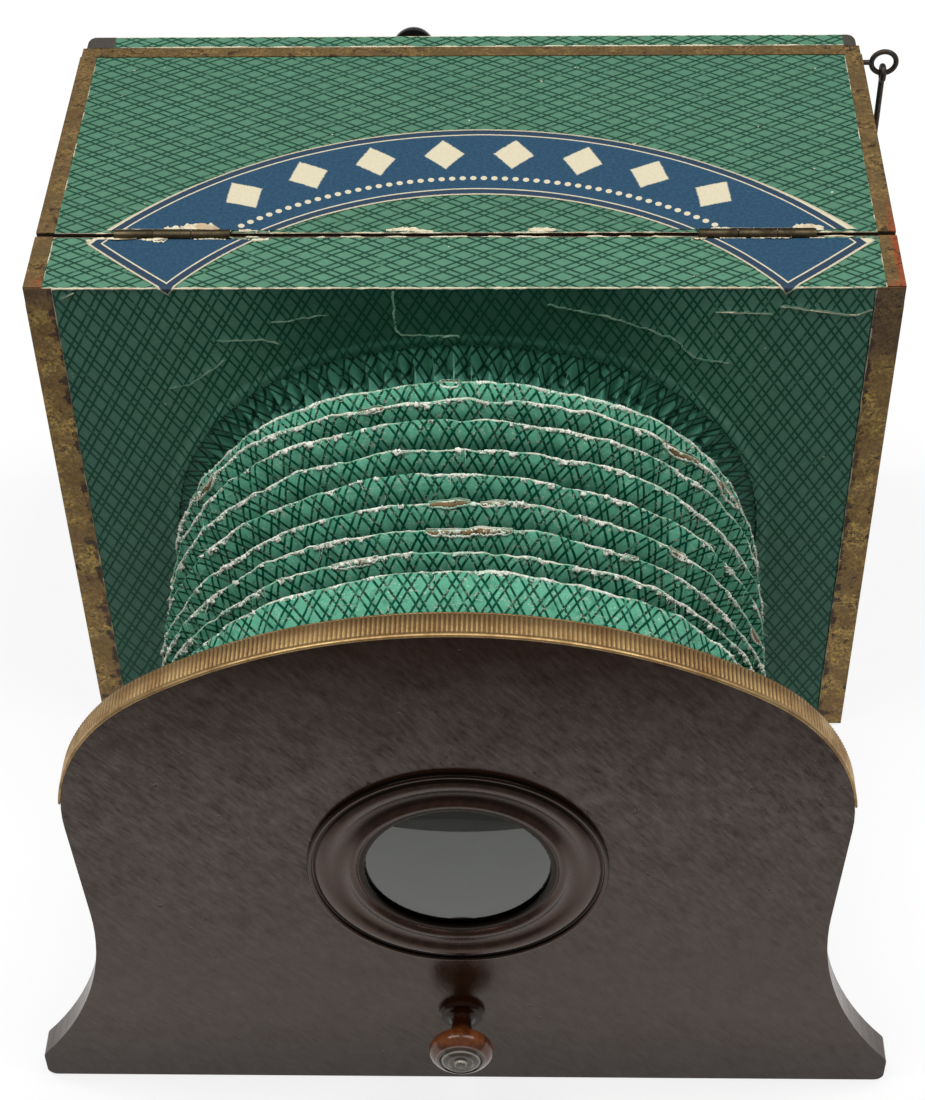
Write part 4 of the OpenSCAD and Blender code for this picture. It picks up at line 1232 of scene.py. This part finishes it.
def label_sheet(name, body, cut_y, keep, material):
    """The label on one side of the hinge gap; what reaches past the front edge is folded down over it."""
    turn, radius = np.meshgrid(np.linspace(-1, 1, 241), np.linspace(LABEL_IN_R, LABEL_OUT_R, 31))
    flare = LABEL_FLARE * np.clip(2.2 * np.abs(turn) - 1.2, 0, 1) ** 2 * np.where(turn > 0, 1.0, 0.4)
    turn = turn * (LABEL_TURN - LABEL_SLANT * (radius - LABEL_IN_R))
    radius = radius + flare * (radius - LABEL_IN_R) / (LABEL_OUT_R - LABEL_IN_R)
    x = LABEL_CENTRE[0] + radius * np.sin(turn)
    y = LABEL_CENTRE[1] + radius * np.cos(turn)
    z = TOP_Z + 0.16 * MM + 0.05 * MM * crumple(x, y, 9 * MM, 8)
    piece = make_sheet(name, stack(x, y, z), material, paper=stack(x, y, 0))
    bm = bmesh.new()
    bm.from_mesh(piece.data)

    def cut(y, way, clear):
        every = bm.verts[:] + bm.edges[:] + bm.faces[:]
        bmesh.ops.bisect_plane(bm, geom=every, plane_co=(0, y, 0), plane_no=(0, way, 0), clear_outer=clear)

    cut(cut_y, -keep, True)
    if keep < 0:
        cut(FRONT_Y, -1, False)
        for v in bm.verts:
            past = FRONT_Y - v.co.y
            if past > -0.01 * MM:
                v.co.y = FRONT_Y - 0.62 * MM
                v.co.z -= past
    bm.to_mesh(piece.data)
    bm.free()
    return settle(thicken(piece, 0.12 * MM), body)


def soften(node, width):
    """Rounds a CAD board's sharp edges a little."""
    weld(NODES[node], 0.002 * MM)
    bevel = NODES[node].modifiers.new("soft_edges", "BEVEL")
    bevel.width, bevel.segments = width, 3
    bevel.limit_method, bevel.angle_limit = "ANGLE", math.radians(50)


def barrel_wrap(scraps, start, end, reach, seed):
    """Torn paper that still wraps a hinge barrel from the lid up to the angle reach, from start to end."""
    x = np.arange(start, end, 0.4 * MM)
    rng = np.random.default_rng(seed)
    reach = math.radians(reach) + 0.35 * wander(x, 3 * MM, seed) + rng.uniform(-0.12, 0.12, len(x))
    rows = []
    for share in np.linspace(0, 1, 9):
        turn = WRAP_FROM + (reach - WRAP_FROM) * share
        radius = WRAP_R + 0.06 * MM * rng.uniform(0, 1, len(x))
        rows.append(stack(x, HINGE_Y + radius * np.cos(turn), TOP_Z + radius * np.sin(turn)))
    scraps.add(rows)


def hinge_scraps(case, lid):
    """Torn paper at the two hinges of the lid, on the fixed strip and on the lid."""
    up, side, back, ahead = (0, 0, 1), (1, 0, 0), (0, 1, 0), (0, -1, 0)
    lid_y, rail_y = LID_FRONT_Y + 1.0 * MM, RAIL_BACK_Y - 1.0 * MM
    for scraps, y, lines, seed in ((lid, lid_y, LID_LINES, 600), (case, rail_y, RAIL_LINES, 621)):
        for n, (start, end, width) in enumerate(lines):
            ends = (start * MM, y, TOP_Z), (end * MM, y, TOP_Z)
            torn_line(scraps, *ends, back, up, width * MM, seed + 3 * n, 0.8, 0.3 * MM)
    for scraps, y, way, flakes, seed in ((lid, lid_y - 0.3 * MM, back, LID_FLAKES, 640),
                                         (case, rail_y + 0.3 * MM, ahead, RAIL_FLAKES, 650)):
        for n, (x, length, width, curl) in enumerate(flakes):
            flake(scraps, (x * MM, y, TOP_Z), side, way, up, length * MM, width * MM, curl * MM, seed + n)
    for n, (start, end, reach) in enumerate(BARREL_WRAPS):
        barrel_wrap(lid, start * MM, end * MM, reach, 660 + 3 * n)


def worn_edges(cream):
    """Torn pale paper along the box's edges and the inner edges of its gilt strips."""
    case, lid, door = Scraps(), Scraps(), Scraps()
    x, up, down, back, ahead = STRIP_TOP_X, (0, 0, 1), (0, 0, -1), (0, 1, 0), (0, -1, 0)
    sheet_y = FRONT_Y - 0.3 * MM

    def square_edge(scraps, half, y, z, into, width, seed, share):
        torn_edge(scraps, (-half, y, z), (half, y, z), down, into, width, seed, share)

    square_edge(case, STRIP_FRONT_X, sheet_y, TOP_Z, back, 0.42 * MM, 500, 0.66)
    square_edge(case, x, RAIL_BACK_Y, TOP_Z, ahead, 0.4 * MM, 510, 0.5)
    square_edge(lid, x, LID_FRONT_Y, TOP_Z, back, 0.4 * MM, 520, 0.5)
    low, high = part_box("back_door")
    torn_edge(door, (low.x + 18 * MM, low.y, high.z), (high.x - 18 * MM, low.y, high.z), down, back,
              0.6 * MM, 530, 0.75)
    for side in (-1, 1):
        edge = side * STRIP_FRONT_X
        for scraps, first, last, facing, width, seed, share in (
                (case, (side * x, FRONT_Y, TOP_Z), (side * x, RAIL_BACK_Y, TOP_Z), up, 0.45, 540, 0.55),
                (lid, (side * x, LID_FRONT_Y, TOP_Z), (side * x, LID_BACK_Y, TOP_Z), up, 0.45, 550, 0.55),
                (case, (edge, sheet_y, 0), (edge, sheet_y, TOP_Z), ahead, 0.3, 560, 0.4)):
            torn_line(scraps, first, last, (1, 0, 0), facing, width * MM, seed + side, share)
    for n, (points, _, pale) in enumerate(CREASES):
        for k, (a, b) in enumerate(zip(points, points[1:])):
            if pale > 0.7:
                ends = ((p[0] * MM, FRONT_Y - 0.5 * MM, p[1] * MM) for p in (a, b))
                torn_line(case, *ends, down, ahead, 0.4 * MM, 570 + 9 * n + k, 0.6, 0.2 * MM)
    hinge_scraps(case, lid)
    for scraps, part in ((case, "case"), (lid, "lid"), (door, "door")):
        settle(scraps.piece("torn_edges_" + part, cream, 0.04 * MM), part + "_body")


def build_camera():
    """The camera that took the photo, as fitted to the box's corners."""
    data = bpy.data.cameras.new("camera")
    data.lens = LENS_MM
    data.sensor_width = SENSOR_MM
    camera = bpy.data.objects.new("camera", data)
    p, y, r = (math.radians(a) for a in (PITCH, YAW, ROLL))
    look = Matrix(((1, 0, 0), (0, -math.sin(p), -math.cos(p)), (0, math.cos(p), -math.sin(p))))
    yaw = Matrix(((math.cos(y), math.sin(y), 0), (-math.sin(y), math.cos(y), 0), (0, 0, 1)))
    roll = Matrix(((math.cos(r), math.sin(r), 0), (-math.sin(r), math.cos(r), 0), (0, 0, 1)))
    rows = roll @ look @ yaw
    turn = Matrix((rows[0], -rows[1], -rows[2])).transposed()
    camera.matrix_world = Matrix.Translation(CAMERA_AT) @ turn.to_4x4()
    bpy.context.scene.collection.objects.link(camera)
    bpy.context.scene.camera = camera


def build_floor():
    """Pale table top that shows white to the camera but keeps the shadow."""
    s = Shader("floor")
    path = s.tree.nodes.new("ShaderNodeLightPath")
    rays = ("Camera", "Glossy", "Transmission")
    camera, glossy, through = (path.outputs["Is %s Ray" % ray] for ray in rays)
    seen = s.most(camera, s.most(glossy, through))
    diffuse = s.add("BsdfDiffuse", {"Color": FLOOR_GREY})
    lift = s.add("Emission", {"Strength": s.mul(seen, FLOOR_GLOW)})
    s.add("OutputMaterial", {"Surface": s.add("AddShader", {0: diffuse, 1: lift})})
    reach, front = FLOOR_REACH, BOARD_FRONT_Y - TABLE_AHEAD
    corners = [(-reach, front, 0), (reach, front, 0), (reach, reach, 0), (-reach, reach, 0)]
    floor = make_piece("floor", corners, [(0, 1, 2, 3)], s.material)


def build_lamps():
    """Two soft lamps overhead."""
    for side in (-1, 1):
        lamp = bpy.data.lights.new("softbox", "AREA")
        lamp.shape, lamp.energy = "RECTANGLE", LAMP_POWER
        lamp.size, lamp.size_y = LAMP_SIZE
        holder = bpy.data.objects.new("softbox", lamp)
        holder.location = (side * LAMP_AT[0], *LAMP_AT[1:])
        aim = Vector(LAMP_AIM) - holder.location
        holder.rotation_euler = aim.to_track_quat("-Z", "Y").to_euler()
        bpy.context.scene.collection.objects.link(holder)


def build_dome():
    """A dim dome that shows white to the camera."""
    world = bpy.data.worlds.new("dome")
    world.use_nodes = True
    tree = world.node_tree
    path = tree.nodes.new("ShaderNodeLightPath")
    strength = tree.nodes.new("ShaderNodeMapRange")
    strength.inputs[3].default_value, strength.inputs[4].default_value = DOME_LIGHT, 1.0
    tree.links.new(path.outputs["Is Camera Ray"], strength.inputs[0])
    total = tree.nodes.new("ShaderNodeMath")
    total.operation = "MULTIPLY_ADD"
    total.inputs[1].default_value = DOME_SHEEN
    tree.links.new(path.outputs["Is Glossy Ray"], total.inputs[0])
    tree.links.new(strength.outputs[0], total.inputs[2])
    tree.nodes["Background"].inputs[0].default_value = (1, 1, 1, 1)
    tree.links.new(total.outputs[0], tree.nodes["Background"].inputs[1])
    bpy.context.scene.world = world


def dress(node, material):
    """Gives a CAD node a material."""
    slots = NODES[node].data.materials
    slots.clear()
    slots.append(material)


def dress_all(nodes, material):
    for node in nodes:
        dress(node, material)


build_camera()
build_floor()
build_lamps()
build_dome()
bpy.context.scene.view_settings.view_transform = "Standard"
for node, inner in (("left_side", (1, 0, 0)), ("right_side", (-1, 0, 0)), ("front_board", (0, 1, 0)),
                    ("top_rail", (0, 0, -1)), ("base_board", (0, 0, 1)), ("lid", (0, 0, -1))):
    at_gap = HINGE_Y if node in ("top_rail", "lid") else None
    dress(node, board_material(node, inner, gap_y=at_gap))
dress("back_door", board_material("back_door", (0, -1, 0), dark_corner=103.4 * MM))
dress_all([node for node in NODES if node.startswith("gilt_")], gilt_material())
dress("lens_board", mahogany_material())
dress("lens_ring", turned_material("ring_wood", rgb(28, 15, 11), rgb(62, 36, 28), LENS_Z, 0.22, 0.32,
                                   rgb(255, 214, 192), hollows=True))
dress("pull_knob", turned_material("knob_wood", rgb(92, 44, 20), rgb(142, 80, 42), KNOB_Z, 0.12, 0.2,
                                   rgb(255, 250, 240), KNOB_TIP))
band_brass = brass_material("band_brass", rgb(212, 178, 124), rgb(166, 130, 86), 0.44, 0.58, grooved=True)
hinge_brass = brass_material("hinge_brass", rgb(92, 82, 62), rgb(52, 45, 34), 0.4, 0.6)
make_band(band_brass)
dress_all(("lid_hinge_rail_leaves", "lid_hinge_lid_leaves", "lid_hinge_pins", "door_hinge_base_leaves",
           "door_hinge_door_leaves", "door_hinge_pins", "lens_retainer"), hinge_brass)
dress_all(("hook", "hook_eye", "catch_pin"), iron_material())
stain = stained_material("black_stain", SOOT, rgb(44, 40, 36), 0.55, 0.75)
dress_all(("view_stop_left", "view_stop_right", "view_sill"), stain)
dress("door_knob", stained_material("black_polish", rgb(14, 13, 12), rgb(30, 27, 24), 0.2, 0.35))
dress("lid_lining", torn_paper("lining_paper", rgb(206, 196, 168), rgb(228, 220, 196), rgb(200, 182, 146)))
make_lens(glass_material())
bellows_print = paper_by_attribute("bellows_print", FOLD_GREEN, FOLD_INK, 0.9, rgb(112, 178, 150),
                                   rgb(226, 226, 204), 0.62, 0.05, scuffed=True)
rim_print = paper_by_attribute("rim_print", RIM_GREEN, RIM_INK, 0.6, rgb(84, 150, 128),
                               rgb(128, 182, 158), 0.55, 0.25)
front_print = paper_by_attribute("front_print", FRONT_GREEN, FRONT_INK, 0.7, rgb(132, 190, 164),
                                 rgb(190, 212, 190), 0.42, 0.13)
cream = torn_paper("torn_paper", rgb(214, 202, 168), rgb(240, 232, 208), rgb(206, 182, 148))
frayed = torn_paper("frayed_paper", rgb(220, 224, 202), rgb(254, 254, 246), rgb(168, 208, 184))
kraft = torn_paper("torn_board", rgb(108, 84, 56), rgb(158, 130, 90), rgb(136, 110, 76))
make_bellows(bellows_print, stain)
worn_ridges(frayed, kraft)
box_rim(rim_print)
board_rim(rim_print)
front_paper(front_print)
worn_edges(cream)
label = label_material()
label_sheet("label_lid", "lid_body", LID_FRONT_Y + LABEL_GAP, 1, label)
label_sheet("label_rail", "case_body", RAIL_BACK_Y - LABEL_GAP, -1, label)
for node in ("lid", "top_rail", "left_side", "right_side", "back_door", "lens_board"):
    soften(node, SOFT_EDGE)
